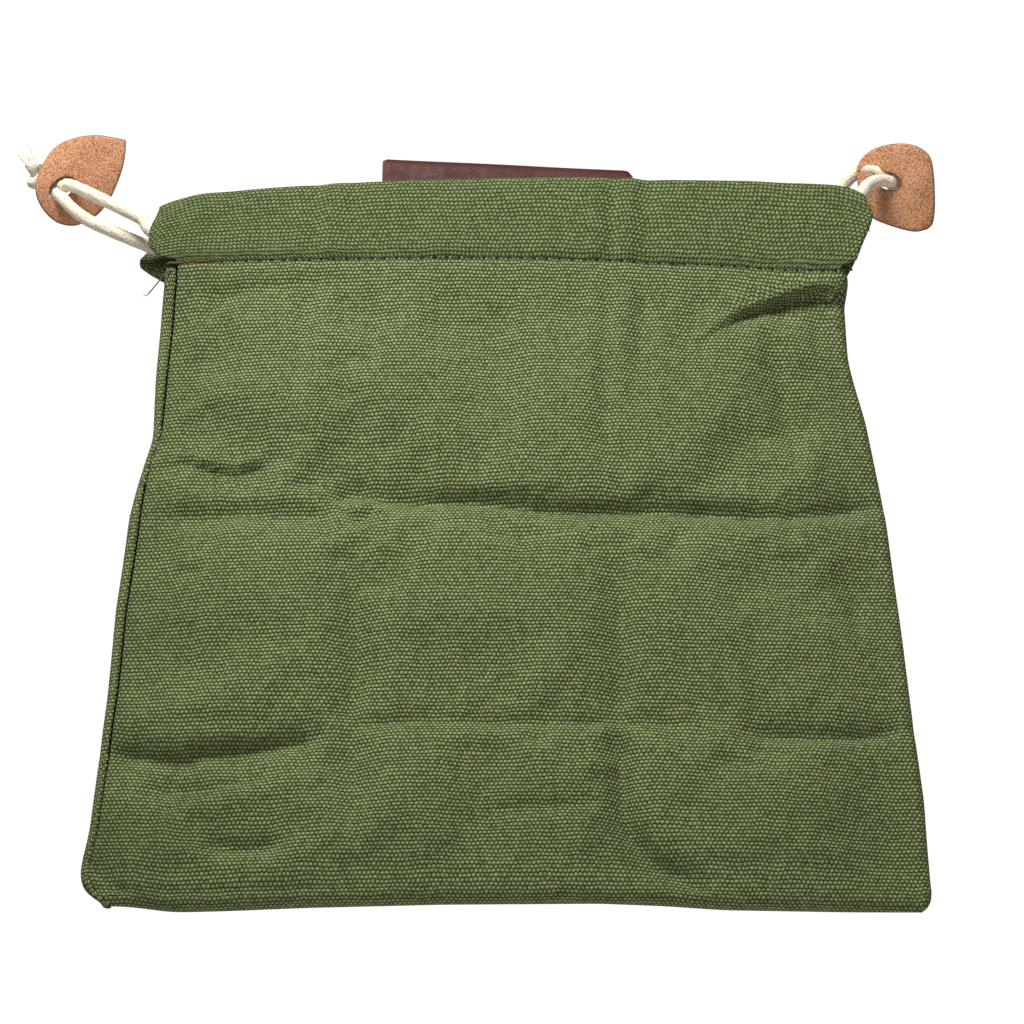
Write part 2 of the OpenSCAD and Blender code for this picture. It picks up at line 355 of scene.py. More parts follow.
def canvas_material():
    """Canvas faded on the crowns of its weave, with painted shade in the weave's gaps and a
    painted highlight on its crowns, painted shade in the hem and low down, and darker towards the left."""
    n = Nodes("canvas")
    cloth = n.node("ShaderNodeUVMap", uv_map="cloth").outputs["UV"]
    across, up, thick, fibre = canvas_weave(n, cloth)
    fade = n.noise(cloth, 0.018, detail=3.0)
    fuzz = n.times(n.math("SUBTRACT", fibre, 0.5), 1.80)
    lit = n.plus(thick, fuzz)
    # Painted shade in the weave's gaps and a painted highlight on its crowns: the colour follows the thread's
    # height.
    gap_shade_color = n.mix(n.ramp(lit, 0.08, 0.50), CANVAS_DARK, CANVAS_MID)
    color = n.mix(n.ramp(lit, 0.42, 0.98), gap_shade_color, CANVAS_LIGHT)
    wear = n.times(n.ramp(fade, 0.35, 0.75, 0.0, 0.22), n.ramp(lit, 0.25, 0.80))
    color = n.mix(wear, color, CANVAS_LIGHT)
    hem_foot = weave_height(STITCH_Z)
    # Painted shade: the hem, above the foot of its stitch line, is mixed towards the dark canvas colour.
    hem_painted_shade = n.ramp(up, hem_foot - 1, hem_foot + 3, 0.0, 0.27)
    color = n.mix(hem_painted_shade, color, CANVAS_DARK)
    # Painted shade darkens the cloth towards the bottom, and the cloth is also darker towards the left, both
    # in blotches.
    low = n.ramp(up, 10, 80, 0.10, 0.0)
    left = n.ramp(across, -118, -60, 0.16, 0.0)
    blotch = n.ramp(n.noise(cloth, 0.035, detail=3.0), 0.3, 0.7, 0.4, 1.6)
    low_shade_and_left_darkening = n.times(n.plus(low, left), blotch)
    color = n.mix(low_shade_and_left_darkening, color, CANVAS_DARK)
    n.shader.inputs["Specular IOR Level"].default_value = 0.12
    normal = n.bump(n.plus(thick, n.times(fibre, 0.45)), 0.00048, 0.85)
    return n.finish(color, 0.92, normal, sheen=0.04, sheen_tint=(0.7, 0.8, 0.5, 1))


def cord_material():
    """Cream cotton: the braid is geometry, and its grooves get painted shade, a darker brown."""
    n = Nodes("cord")
    where = n.coordinates()
    blotch = n.noise(where, 140.0, detail=3.0)
    fibre = n.noise(where, 1900.0, detail=4.0, roughness=0.7)
    crown = n.node("ShaderNodeNewGeometry").outputs["Pointiness"]
    color = n.mix(n.ramp(blotch, 0.3, 0.7), (0.86, 0.76, 0.60, 1), (0.92, 0.84, 0.70, 1))
    # Painted shade: hollows of the braid, where pointiness is low, get a dark brown.
    color = n.mix(n.ramp(crown, 0.45, 0.53), (0.50, 0.37, 0.22, 1), color)
    color = n.mix(n.ramp(fibre, 0.45, 0.75, 0.0, 0.30), color, (0.66, 0.54, 0.37, 1))
    normal = n.bump(fibre, 0.0003, 0.8)
    return n.finish(color, 0.9, normal, sheen=0.2)


def suede_material():
    """Tan suede: short nap, mottled, with painted shade at the cut edge."""
    n = Nodes("suede")
    where = n.coordinates()
    nap = n.noise(where, 1500.0, detail=5.0, roughness=0.7)
    patch = n.noise(where, 110.0, detail=3.0)
    grit = n.noise(where, 3400.0, detail=2.0, roughness=0.8)
    color = n.mix(n.ramp(patch, 0.3, 0.7), (0.62, 0.275, 0.125, 1), (0.74, 0.350, 0.170, 1))
    color = n.mix(n.ramp(nap, 0.40, 0.58), (0.26, 0.085, 0.032, 1), color)
    color = n.mix(n.ramp(grit, 0.50, 0.66, 0.0, 0.75), color, (0.95, 0.60, 0.38, 1))
    # Painted shade: the rim and the hole's edge, marked by the edge attribute, are darkened.
    edge = n.node("ShaderNodeAttribute", attribute_name="edge").outputs["Fac"]
    color = n.mix(edge, color, (0.13, 0.060, 0.035, 1))
    normal = n.bump(n.plus(nap, grit), 0.0004, 0.7)
    return n.finish(color, 0.95, normal, sheen=0.2, sheen_tint=(1.0, 0.75, 0.55, 1))


def leather_material():
    """Smooth reddish-brown leather with a fine grain, and a painted highlight along its edges."""
    n = Nodes("dark_leather")
    where = n.coordinates()
    cells = n.node("ShaderNodeTexVoronoi", feature="DISTANCE_TO_EDGE")
    n.feed(cells.inputs["Vector"], where)
    cells.inputs["Scale"].default_value = 1100.0
    pores = n.ramp(cells.outputs["Distance"], 0.0, 0.12)
    haze = n.noise(where, 35.0, detail=4.0)
    crumple = n.noise(where, 260.0, detail=3.0)
    color = n.mix(n.ramp(haze, 0.3, 0.7), (0.050, 0.011, 0.008, 1), (0.072, 0.018, 0.013, 1))
    n.shader.inputs["Specular IOR Level"].default_value = 0.18
    roughness = n.ramp(crumple, 0.3, 0.7, 0.45, 0.60)
    relief = n.plus(n.times(pores, 0.5), crumple)
    # Painted highlight: the edges, marked by the edge attribute, are lighter than the leather.
    edge = n.node("ShaderNodeAttribute", attribute_name="edge").outputs["Fac"]
    color = n.mix(edge, color, (0.16, 0.085, 0.055, 1))
    return n.finish(color, roughness, n.bump(relief, 0.00018, 0.5))


def thread_material(name, color, light):
    """Sewing thread: the twist shows as fine slanting bands."""
    n = Nodes(name)
    where = n.coordinates()
    twist = n.node("ShaderNodeTexWave", bands_direction="DIAGONAL")
    n.feed(twist.inputs["Vector"], where)
    twist.inputs["Scale"].default_value = 900.0
    shade = n.mix(twist.outputs["Fac"], color, light)
    return n.finish(shade, 0.75, n.bump(twist.outputs["Fac"], 0.0001, 0.6), sheen=0.1)


def brass_material():
    """Antique brass, dark in its hollows and rubbed bright where it is handled."""
    n = Nodes("brass")
    where = n.coordinates()
    patina = n.noise(where, 420.0, detail=5.0, roughness=0.65)
    color = n.mix(n.ramp(patina, 0.35, 0.65), (0.16, 0.10, 0.045, 1), (0.48, 0.33, 0.14, 1))
    n.shader.inputs["Metallic"].default_value = 0.95
    roughness = n.ramp(patina, 0.3, 0.7, 0.52, 0.30)
    return n.finish(color, roughness, n.bump(patina, 0.0001, 0.3))


CANVAS = canvas_material()
CORD = cord_material()
SUEDE = suede_material()
LEATHER = leather_material()
THREAD = thread_material("thread", (0.022, 0.026, 0.009, 1), (0.075, 0.086, 0.034, 1))
BROWN_THREAD = thread_material("brown_thread", (0.050, 0.028, 0.008, 1), (0.130, 0.074, 0.022, 1))
# Near-black beads of painted shadow where the thread dives into the cloth.
NEEDLE_HOLE_SHADOW = thread_material("needle_hole_shadow", (0.002, 0.003, 0.001, 1), (0.004, 0.005, 0.002, 1))
BRASS = brass_material()


def along_path(points, step):
    """A smooth path through points, resampled every step mm."""
    points = np.array(points, float)
    dense = []
    padded = np.concatenate([[2 * points[0] - points[1]], points, [2 * points[-1] - points[-2]]])
    for i in range(1, len(padded) - 2):
        p0, p1, p2, p3 = padded[i - 1:i + 3]
        for t in np.linspace(0, 1, 24, endpoint=False):
            dense.append(0.5 * (2 * p1 + (p2 - p0) * t + (2 * p0 - 5 * p1 + 4 * p2 - p3) * t**2
                                + (3 * p1 - p0 - 3 * p2 + p3) * t**3))
    dense.append(points[-1])
    dense = np.array(dense)
    length = np.concatenate([[0], np.cumsum(np.linalg.norm(np.diff(dense, axis=0), axis=1))])
    count = max(4, int(length[-1] / step) + 1)
    even = np.linspace(0, length[-1], count)
    return np.stack([np.interp(even, length, dense[:, i]) for i in range(3)], axis=1), even


# ---------------------------------------------------------------- the bag's outline

# Each profile is a list of (height, place across) or (place across, height).
LEFT_EDGE = [(0, -120), (3, -125.6), (7, -128), (12, -128.6), (18, -127.4), (24, -126.6), (46, -125.6),
             (66, -124.5), (97, -124), (112, -123), (130, -122), (142, -120),
             (151, -118), (158, -116.2), (180, -116.8), (205, -116.3), (215, -115.8)]
RIGHT_EDGE = [(0, 126.6), (3, 127.4), (8, 127.4), (20, 127.4), (35, 127.6), (58, 126),
              (98, 124.3), (133, 122.3), (150, 120), (167, 118), (182, 115),
              (190, 113.6), (203, 113.7), (211, 113.6), (218, 115.2)]
ROLL_WIDTH = [(0, 2.6), (20, 3.2), (80, 4), (128, 4.4), (150, 2.8), (175, 4.4), (213, 5.2)]
HEM_LEFT = [(216, -112), (224, -117.5), (231, -120.8), (240, -120.6), (248, -118)]
HEM_RIGHT = [(216, 114.8), (227, 118.6), (237, 122.4), (243, 124), (250, 121.5)]
BACK_HEM_LEFT = [(219, -114.5), (223, -117), (229, -121.6), (235, -126.4), (239, -126.6), (244, -124),
                 (250, -121)]
BACK_HEM_RIGHT = [(219, 111.5), (226, 116), (233, 119.5), (241, 121.8), (250, 120)]
TOP_EDGE = [(-122, 238.5), (-117, 243), (-105, 247.2), (-71, 250.2), (-43, 252.2), (0, 253.4),
            (20, 254), (45, 253), (86, 252.2), (112, 250.8), (119, 249.2), (124, 244.5)]
STITCH_LINE = [(-124, 217.6), (-115, 218.9), (-106, 220), (-70, 220.8), (-26, 221.6),
               (18, 221.2), (65, 219), (95, 216.6), (124, 216.4)]
BOTTOM_EDGE = [(-124, 1.6), (-113, 1.4), (-100, -0.2), (-84, 0.2), (-60, 1.2), (-19, 2.2),
               (28, 2.5), (48, 1.7), (65, 0.5), (105, -0.2), (124, -0.4)]


def polyline(points, x, z):
    """Signed distance above a smoothed line, and the share of the way along it."""
    points = np.array(points, float)
    steps = np.linspace(0, len(points) - 1, 6 * len(points))
    knots = np.arange(len(points))
    line = np.stack([np.interp(steps, knots, points[:, i]) for i in (0, 1)], axis=1)
    inner = line.copy()
    for _ in range(4):
        inner[1:-1] = (inner[:-2] + 2 * inner[1:-1] + inner[2:]) / 4
    best = np.full(x.shape, np.inf)
    signed, along = np.zeros(x.shape), np.zeros(x.shape)
    for i in range(len(inner) - 1):
        a, b = inner[i], inner[i + 1]
        dx, dz = b - a
        length2 = dx * dx + dz * dz
        t = np.clip(((x - a[0]) * dx + (z - a[1]) * dz) / length2, 0, 1)
        ox, oz = x - a[0] - t * dx, z - a[1] - t * dz
        distance = np.hypot(ox, oz)
        near = distance < best
        best = np.where(near, distance, best)
        side = np.where(dx * oz - dz * ox >= 0, 1.0, -1.0)
        signed = np.where(near, side * distance, signed)
        along = np.where(near, (i + t) / (len(inner) - 1), along)
    return signed, along


def crease(x, z, points, depth, above, below, ends=0.2):
    """A valley pressed into the cloth along a line. above and below are the
    widths of its two slopes, and ends is the share of its length it fades over."""
    signed, along = polyline(points, x, z)
    width = np.where(signed > 0, above, below)
    soft = np.sqrt((signed / width) ** 2 + 0.02)
    fade = smooth(0, ends, along) * smooth(0, ends, 1 - along)
    return -depth * fade * np.exp(-1.6 * (soft - 0.14))


def overhang(x, z, points, lip, hollow, above, below, ends=0.6):
    """A wrinkle whose upper side hangs over: the cloth stands forward by lip
    just above the line and drops back by hollow just below it."""
    signed, along = polyline(points, x, z)
    fade = smooth(0, ends, along) * smooth(0, ends / 5, 1 - along)
    front = lip * np.exp(-np.maximum(signed, 0) / above)
    back = -hollow * np.exp(np.minimum(signed, 0) / below)
    return fade * (back + (front - back) * smooth(-0.7, 0.7, signed))


def swell(x, z, at, size, height, turn=0.0):
    """A broad soft mound, or a hollow if height is negative."""
    c, s = math.cos(math.radians(turn)), math.sin(math.radians(turn))
    dx, dz = x - at[0], z - at[1]
    u, v = (dx * c + dz * s) / size[0], (-dx * s + dz * c) / size[1]
    return height * np.exp(-(u * u + v * v))


def ripple(x, z, seed, wavelength, height):
    """Smooth uneven undulation of the cloth."""
    rng = np.random.default_rng(seed)
    total = np.zeros(x.shape)
    for _ in range(9):
        angle = rng.uniform(0, math.pi)
        length = wavelength * rng.uniform(0.6, 1.7)
        phase = rng.uniform(0, 2 * math.pi)
        total += np.sin(2 * math.pi * (x * math.cos(angle) + z * math.sin(angle)) / length + phase)
    return height * total / 3


# Valleys on the front: points in mm, depth, width above and below, end fade
FRONT_CREASES = [
    ([(-60, 133), (-49, 135.5), (-38, 134), (-9, 132.8), (17, 129.4), (49, 129.9), (75, 127.8), (95, 127)],
     4.4, 5, 5, 0.12),
    ([(-118, 129), (-89, 127.2), (-66, 126.6), (-55, 129)], 2.4, 5, 6, 0.2),
    ([(84, 127), (100, 129), (124, 134)], 4.4, 6, 5, 0.3),
    ([(-55, 133), (-48, 125.2), (-41, 131)], 2.2, 3, 3, 0.25),
    ([(-126, 50.5), (-103, 46), (-81, 49), (-52, 54)], 5.0, 5, 7, 0.16),
    ([(-48, 57.5), (-20, 58.7), (10, 57.4), (41, 58.7), (58, 56)], 2.2, 3.2, 3.5, 0.12),
    ([(66, 54.5), (90, 53), (108, 53.4), (126, 57.5)], 3.6, 5, 4, 0.2),
    ([(33.5, 58), (35, 45), (35.6, 26), (44, 14), (55, 7.5), (60, 3)], 5.2, 4.5, 7, 0.12),
    ([(34, 119), (36, 81), (35, 50)], 3.4, 7, 9, 0.3),
    ([(-48, 118), (-47, 60), (-46.5, 16)], 3.2, 7, 8, 0.3),
    ([(-110, 219), (-98, 207.5), (-84, 211), (-60, 213.5), (-48, 216)], 2.8, 5, 6, 0.25),
    ([(44, 243), (52, 230), (62, 209)], 3.0, 6, 5, 0.3),
    ([(-94, 20), (-80, 17.6), (-64, 19.6)], 3.6, 4, 6, 0.3),
    ([(-118, 37), (-93, 35.6), (-66, 42)], 3.2, 8, 7, 0.3),
    ([(-10, 29), (12, 31), (32, 32.5)], 1.3, 3, 3, 0.3),
    ([(100, 113), (111, 100), (108, 82)], 2.6, 8, 8, 0.35),
    ([(86, 200), (91, 170), (94, 138)], 3.4, 8, 10, 0.35),
    ([(-127, 19), (-121, 9.5), (-112, 3.8), (-102, 0.5)], 2.2, 2.0, 2.6, 0.2),
]

# Overhanging wrinkles on the front: points, lip, hollow, reach above and below
FRONT_WRINKLES = [
    ([(58, 187), (67, 193.3), (77, 200.9), (88, 205), (98, 209), (106, 210.2), (113.5, 207)], 2.2, 4.6, 6, 6),
    ([(-119, 144), (-110, 147), (-104, 148.6), (-96, 145.6), (-88, 144.4), (-76, 147)], 1.2, 2.2, 5, 6),
]

# Mounds and hollows on the front: place, size, height, turn
FRONT_SWELLS = [
    ((18, 178), (42, 26), 1.6, 10),
    ((-82, 196), (30, 12), 1.3, 5),
    ((-60, 165), (36, 20), 0.8, 0),
    ((-48, 131), (7, 4), 1.6, 0),
    ((0, 100), (60, 20), 0.9, 0),
    ((-86, 14), (40, 5), 1.4, -6),
    ((-92, 62), (26, 8), 1.0, 8),
    ((70, 30), (18, 14), 1.0, 20),
    ((-8, 212), (20, 6), -0.8, 0),
    ((116, 30), (14, 26), -2.4, 0),
    ((118, 110), (14, 40), -2.0, 0),
    ((-112, 90), (12, 50), -1.4, 0),
    ((-86, 34), (16, 5), 1.3, 12),
    ((-56, 26), (9, 16), 1.0, 0),
    ((62, 96), (20, 26), 1.0, 0),
    ((-86, 98), (26, 22), 0.9, 0),
]

# Upright folds in the hem: place across, depth, half-width
HEM_FOLDS = [(-66, 0.7, 3.0), (-60, -1.0, 4.0), (-43, 0.6, 3.0), (29, -0.9, 3.5), (34.5, 0.9, 1.8),
             (40, -1.6, 3.2), (47, 0.9, 3.5), (92, 0.4, 6), (-96, 0.5, 6)]


def front_relief(x, z):
    """How far the front cloth stands forward of its plain shape, in mm."""
    total = ripple(x, z, 3, 46, 0.40) + ripple(x, z, 4, 17, 0.12)
    for points, depth, above, below, ends in FRONT_CREASES:
        total = total + crease(x, z, points, depth, above, below, ends)
    for at, size, height, turn in FRONT_SWELLS:
        total = total + swell(x, z, at, size, height, turn)
    return total + hem_relief(x, z) * smooth(150, 214, z) * 0.8


def front_wrinkles(x, z):
    """The overhanging wrinkles, which end below the stitch line."""
    total = np.zeros(np.shape(x))
    for points, lip, hollow, above, below in FRONT_WRINKLES:
        total = total + overhang(x, z, points, lip, hollow, above, below)
    return total * smooth(STITCH_Z - 2, STITCH_Z - 9, z)


def hem_relief(x, z):
    """Upright folds of the hem, which run on a little way below it."""
    total = np.zeros(np.shape(x))
    for at, depth, width in HEM_FOLDS:
        drift = 0.05 * (z - STITCH_Z)
        total = total - depth * np.exp(-(((x - at - drift) / width) ** 2))
    return total


# Ridges and valleys on the back, where the main creases show the other way
BACK_CREASES = [
    ([(-120, 129), (-40, 132), (30, 130), (120, 132)], -2.0, 8, 8, 0.1),
    ([(-122, 52), (-40, 57), (40, 58), (122, 56)], -1.5, 6, 6, 0.1),
    ([(35, 175), (36, 90), (35, 12)], 1.2, 7, 6, 0.15),
    ([(-47, 178), (-46, 100), (-47, 12)], 1.1, 6, 7, 0.15),
    ([(-112, 178), (-84, 169), (-56, 172)], 1.7, 5, 7, 0.25),
    ([(62, 196), (88, 186), (116, 190)], 2.0, 5, 7, 0.25),
    ([(56, 96), (80, 88), (112, 92)], 1.1, 5, 6, 0.3),
    ([(-110, 92), (-82, 84), (-60, 88)], 1.0, 5, 6, 0.3),
    ([(-100, 30), (-78, 22), (-56, 26)], 1.2, 5, 6, 0.3),
]


def back_relief(x, z):
    """How far the back cloth stands out behind its plain shape, in mm."""
    total = ripple(x, z, 8, 44, 0.30) + ripple(x, z, 9, 18, 0.07)
    for points, depth, above, below, ends in BACK_CREASES:
        total = total + crease(x, z, points, depth, above, below, ends)
    return total


# ---------------------------------------------------------------- cloth simulation


def grid_reader(values, xs, zs):
    """A function that reads an evenly spaced grid smoothly at any x and z."""
    spacing = xs[1] - xs[0]

    def read(x, z):
        u = np.clip((x - xs[0]) / spacing, 0, len(xs) - 1.001)
        v = np.clip((z - zs[0]) / spacing, 0, len(zs) - 1.001)
        i, j = u.astype(int), v.astype(int)
        fu, fv = smooth(0, 1, u - i), smooth(0, 1, v - j)
        low = values[j, i] * (1 - fu) + values[j, i + 1] * fu
        high = values[j + 1, i] * (1 - fu) + values[j + 1, i + 1] * fu
        return low * (1 - fv) + high * fv

    return read


# The most that slack cloth may buckle out of its plain shape, in mm
MOST_BUCKLE = 2.2


def settle(relief, spacing=4.5, frames=18):
    """Lets a sheet with this relief, a little too large for its frame, buckle.

    The sheet is held at its edges and along the main creases. Returns a
    function of x and z that gives how far the cloth moved outwards, in mm.
    """
    xs = np.arange(-112, 112.1, spacing)
    zs = np.arange(8, 216.1, spacing)
    x, z = np.meshgrid(xs, zs)
    base = relief(x, z)
    points = np.stack([x, np.zeros_like(x), z], axis=-1)
    points[..., 1] = -base
    sheet = new_object("settling", points.reshape(-1, 3), grid_faces(len(zs), len(xs)))
    edge = np.minimum(np.minimum(x - xs[0], xs[-1] - x), np.minimum(z - zs[0], zs[-1] - z))
    held = edge < 1.5 * spacing
    for crease_z in (CREASE_Z, LOW_CREASE_Z):
        held = held | (abs(z - crease_z) < 0.6 * spacing)
    group = sheet.vertex_groups.new(name="held")
    group.add(np.flatnonzero(held.ravel()).tolist(), 1.0, "REPLACE")
    cloth = sheet.modifiers.new("cloth", "CLOTH")
    settings = cloth.settings
    settings.quality = 6
    settings.mass = 0.25
    settings.tension_stiffness = 18
    settings.compression_stiffness = 18
    settings.shear_stiffness = 6
    settings.bending_stiffness = 1.2
    settings.shrink_min = -0.014
    settings.vertex_group_mass = "held"
    settings.effector_weights.gravity = 0.0
    cloth.collision_settings.use_collision = False
    scene = bpy.context.scene
    scene.frame_start, scene.frame_end = 1, frames
    cloth.point_cache.frame_start, cloth.point_cache.frame_end = 1, frames
    for number in range(1, frames + 1):
        scene.frame_set(number)
    apply_modifiers(sheet)
    after = np.zeros(len(sheet.data.vertices) * 3)
    sheet.data.vertices.foreach_get("co", after)
    moved = -(after.reshape(-1, 3)[:, 1] / MM - ORIGIN[1]).reshape(x.shape) - base
    bpy.data.objects.remove(sheet)
    scene.frame_set(1)
    moved = np.clip(np.nan_to_num(moved), -MOST_BUCKLE, MOST_BUCKLE)

    return grid_reader(moved, xs, zs)


front_settled = settle(front_relief)
back_settled = settle(back_relief)


# ---------------------------------------------------------------- the bag

GRID = 1.35
EDGE_SHARE = 0.55
CLOTH_T = 0.8
# Half the height over which the cloth bends when the bag folds at the crease
SEAM_ROUND = 5.5
FOLD_R = 3.6
# The cloth map's place across the middle of the back, and its step round a side
BACK_MAP = 300
SIDE_STEP = 0.9
INNER_CUT = 9.0
CASING_WALL = CASING_HALF + 0.6
STITCH_OUT = 0.5


def half_depth(x, z):
    """Half the bag's depth: thinner towards the sides and the bottom."""
    left = profile(z, LEFT_EDGE)
    right = profile(z, RIGHT_EDGE)
    inboard = np.minimum(x - left, right - x)
    share = EDGE_SHARE + (1 - EDGE_SHARE) * smooth(0, 30, inboard)
    share = share * (0.78 + 0.22 * smooth(4, 34, z))
    return BODY_HALF * share


def seam_round(x, z):
    """Closes the bag's depth to nothing over the rounded bottom edge."""
    above = z - profile(x, BOTTOM_EDGE)
    short = np.clip((SEAM_ROUND - above) / SEAM_ROUND, 0, 1)
    return np.sqrt(1 - short**2)


def seam_groove(x, z):
    """The groove above the rolled bottom seam, deepest at the left."""
    above = z - profile(x, BOTTOM_EDGE)
    strength = 0.25 + 0.75 * smooth(-40, -60, x)
    return -0.9 * strength * np.exp(-(((above - 4.6) / 1.1) ** 2))


def front_y(x, z):
    """The y of the front cloth's outer face."""
    plain = BODY_Y - half_depth(x, z) * seam_round(x, z)
    forward = front_relief(x, z) + front_settled(x, z)
    edges = smooth(0, 12, z) * (0.35 + 0.65 * smooth(0, 10, x - profile(z, LEFT_EDGE)))
    y = plain - forward * edges - seam_groove(x, z)
    to_hem = smooth(STITCH_Z - 24, STITCH_Z - 1, z)
    foot = -CASING_Y - STITCH_OUT * CASING_WALL - 0.25 * forward
    dip = 0.35 * np.exp(-(((z - profile(x, STITCH_LINE)) / 0.9) ** 2))
    return y * (1 - to_hem) + foot * to_hem + dip - front_wrinkles(x, z)


def back_y(x, z):
    """The y of the back cloth's outer face."""
    plain = BODY_Y + half_depth(x, z) * seam_round(x, z)
    outward = (back_relief(x, z) + back_settled(x, z)) * smooth(0, 12, z)
    y = np.minimum(plain + outward + seam_groove(-x, z), BACK_Y + 4)
    y = np.where(z > 178, np.minimum(y, BACK_Y), y)
    to_hem = smooth(STITCH_Z - 24, STITCH_Z - 1, z)
    return y * (1 - to_hem) + (CASING_Y + STITCH_OUT * CASING_WALL) * to_hem


# Heights of the close-set rows over the rounded bottom edge
SEAM_HEIGHTS = [0, 0.25, 0.8, 1.6, 2.6, 3.6, 4.5]
SEAM_ROWS = len(SEAM_HEIGHTS)


def body_rows():
    """Shares of the way up from the bottom edge to the stitch line."""
    count = int((STITCH_Z - 5.5) / GRID)
    return np.concatenate([SEAM_HEIGHTS, np.linspace(5.5, STITCH_Z, count)]) / STITCH_Z


# A casing's section from the stitch line up its outside, over the top and down
# its inside: outward share of its half-thickness, and share of its height
CASING_SECTION = [(0.5, 0), (0.68, 0.03), (0.80, 0.08), (0.88, 0.18), (0.94, 0.42), (1, 0.70), (0.98, 0.86),
                  (0.76, 0.96), (0.25, 1.0), (-0.30, 0.99), (-0.75, 0.93), (-0.97, 0.78), (-1, 0.5),
                  (-0.90, 0.24), (-0.55, 0.09), (0.05, 0.02), (0.26, 0.0)]


def casing_outline(count):
    """The casing's section as evenly spaced points, and the way along it in mm."""
    height = BAG_TOP - STITCH_Z
    section = [(out * CASING_HALF, 0, up * height) for out, up in CASING_SECTION]
    path, travelled = along_path(section, 0.25)
    even = np.linspace(0, travelled[-1], count)
    out = np.interp(even, travelled, path[:, 0]) / CASING_HALF
    up = np.interp(even, travelled, path[:, 2]) / height
    return np.clip(out, -1, 1), np.clip(up, 0, 1), even


def relaxed(excess, spacing, reach, hold=0):
    """Takes the slow part out of a running total along the first axis, and
    leaves the first rows, up to hold, as they run."""
    span = max(3, int(reach / spacing))
    kernel = np.hanning(2 * span + 1)
    kernel /= kernel.sum()
    slow = np.empty_like(excess)
    for c in range(excess.shape[1]):
        column = excess[:, c]
        ends = np.pad(column, span, mode="reflect", reflect_type="odd")
        slow[:, c] = np.convolve(ends, kernel, mode="valid")
    slow[:hold] = slow[hold]
    return excess - slow


def cloth_map(grid, base_u, base_v):
    """A cloth map that lets the weave follow steep folds without stretching,
    by adding each fold's extra length near the fold."""
    tall = np.diff(grid, axis=0)
    extra_v = np.hypot(tall[..., 1], tall[..., 2]) - np.abs(tall[..., 2])
    extra_v = np.concatenate([np.zeros((1, grid.shape[1])), np.cumsum(extra_v, axis=0)])
    wide = np.diff(grid, axis=1)
    extra_u = np.hypot(wide[..., 0], wide[..., 1]) - np.abs(wide[..., 0])
    extra_u = np.concatenate([np.zeros((grid.shape[0], 1)), np.cumsum(extra_u, axis=1)], axis=1)
    u = base_u + relaxed(extra_u.T, GRID, 26).T
    v = base_v + relaxed(extra_v, GRID, 26, hold=SEAM_ROWS)
    return np.stack([u, v], axis=-1)


ACROSS = np.linspace(0, 1, int(236 / GRID))
COLS = len(ACROSS)
TURN = np.radians(np.linspace(0, 180, 11)[1:-1])
# Where the front and the back start in a row round the bag, after the two
# points tucked into the groove and after the fold
FRONT_FIRST = 2
BACK_FIRST = FRONT_FIRST + COLS + len(TURN)


def body_row(share):
    """The sheet once round the bag at a share of its height, from the tucked-in
    front edge at the left seam to the roll over that seam, and its cloth map."""
    z0 = share * STITCH_Z
    left, right = profile(z0, LEFT_EDGE), profile(z0, RIGHT_EDGE)
    groove = left + profile(z0, ROLL_WIDTH)
    front_x = groove + 0.4 + ACROSS * (right - FOLD_R - groove - 0.4)
    back_x = left + 2.4 + ACROSS[::-1] * (right - FOLD_R - left - 2.4)

    def height(x):
        low = profile(x, BOTTOM_EDGE)
        return low + share * (profile(x, STITCH_LINE) - low)

    front_z, back_z = height(front_x), height(back_x)
    fy, by = front_y(front_x, front_z), back_y(back_x, back_z)
    shut = seam_round(front_x[:1], front_z[:1])[0]
    tuck = [(groove - 0.1, fy[0] + 1.4 * shut, front_z[0]),
            (groove + 0.1, fy[0] + 0.5 * shut, front_z[0])]
    front = np.stack([front_x, fy, front_z], axis=1)
    mid, half = (fy[-1] + by[0]) / 2, (by[0] - fy[-1]) / 2
    fold = np.stack([front_x[-1] + FOLD_R * np.sin(TURN) * max(shut, 0.25),
                     mid - half * np.cos(TURN),
                     np.full(len(TURN), front_z[-1])], axis=1)
    back = np.stack([back_x, by, back_z], axis=1)
    roll_front = min(fy[0] + 0.9 * shut, BODY_Y)
    roll_mid, roll_half = (roll_front + by[-1]) / 2, (by[-1] - roll_front) / 2
    edge = np.stack([back_x[-1] - (back_x[-1] - left) * np.sin(TURN) * max(shut, 0.25),
                     roll_mid + roll_half * np.cos(TURN),
                     np.full(len(TURN), back_z[-1])], axis=1)
    lip_x = np.linspace(back_x[-1] + 0.2, groove - 1.0, 4)
    lip = np.stack([lip_x, roll_front + 0.9 * ((lip_x - lip_x[0]) / 3) ** 2 * shut,
                    np.full(4, back_z[-1])], axis=1)
    end = [(groove - 0.35, roll_front + 1.5 * shut, back_z[-1])]
    line = np.concatenate([tuck, front, fold, back, edge, lip, end])
    step = np.linalg.norm(np.diff(line[:, :2], axis=0), axis=1)
    u = np.concatenate([[0], np.cumsum(step)])
    u[:BACK_FIRST] += front_x[0] - u[FRONT_FIRST]
    u[BACK_FIRST:] += BACK_MAP - u[BACK_FIRST + COLS // 2]
    return line, np.stack([u, np.full(len(u), weave_height(z0))], axis=1)


def follow_folds(grid, plain):
    """Lets the front's and back's cloth map follow their folds, and carries it on
    evenly round the two sides."""
    for first, way in ((FRONT_FIRST, 1), (BACK_FIRST, -1)):
        block = slice(first, first + COLS)
        straight = way * grid[:, block, 0] + (0 if way > 0 else BACK_MAP)
        plain[:, block] = cloth_map(grid[:, block], straight, plain[:, block, 1])
    for first, last in ((FRONT_FIRST + COLS, BACK_FIRST), (BACK_FIRST + COLS, grid.shape[1])):
        before = plain[:, first - 1, 0][:, None]
        plain[:, first:last, 0] = before + SIDE_STEP * np.arange(1, last - first + 1)


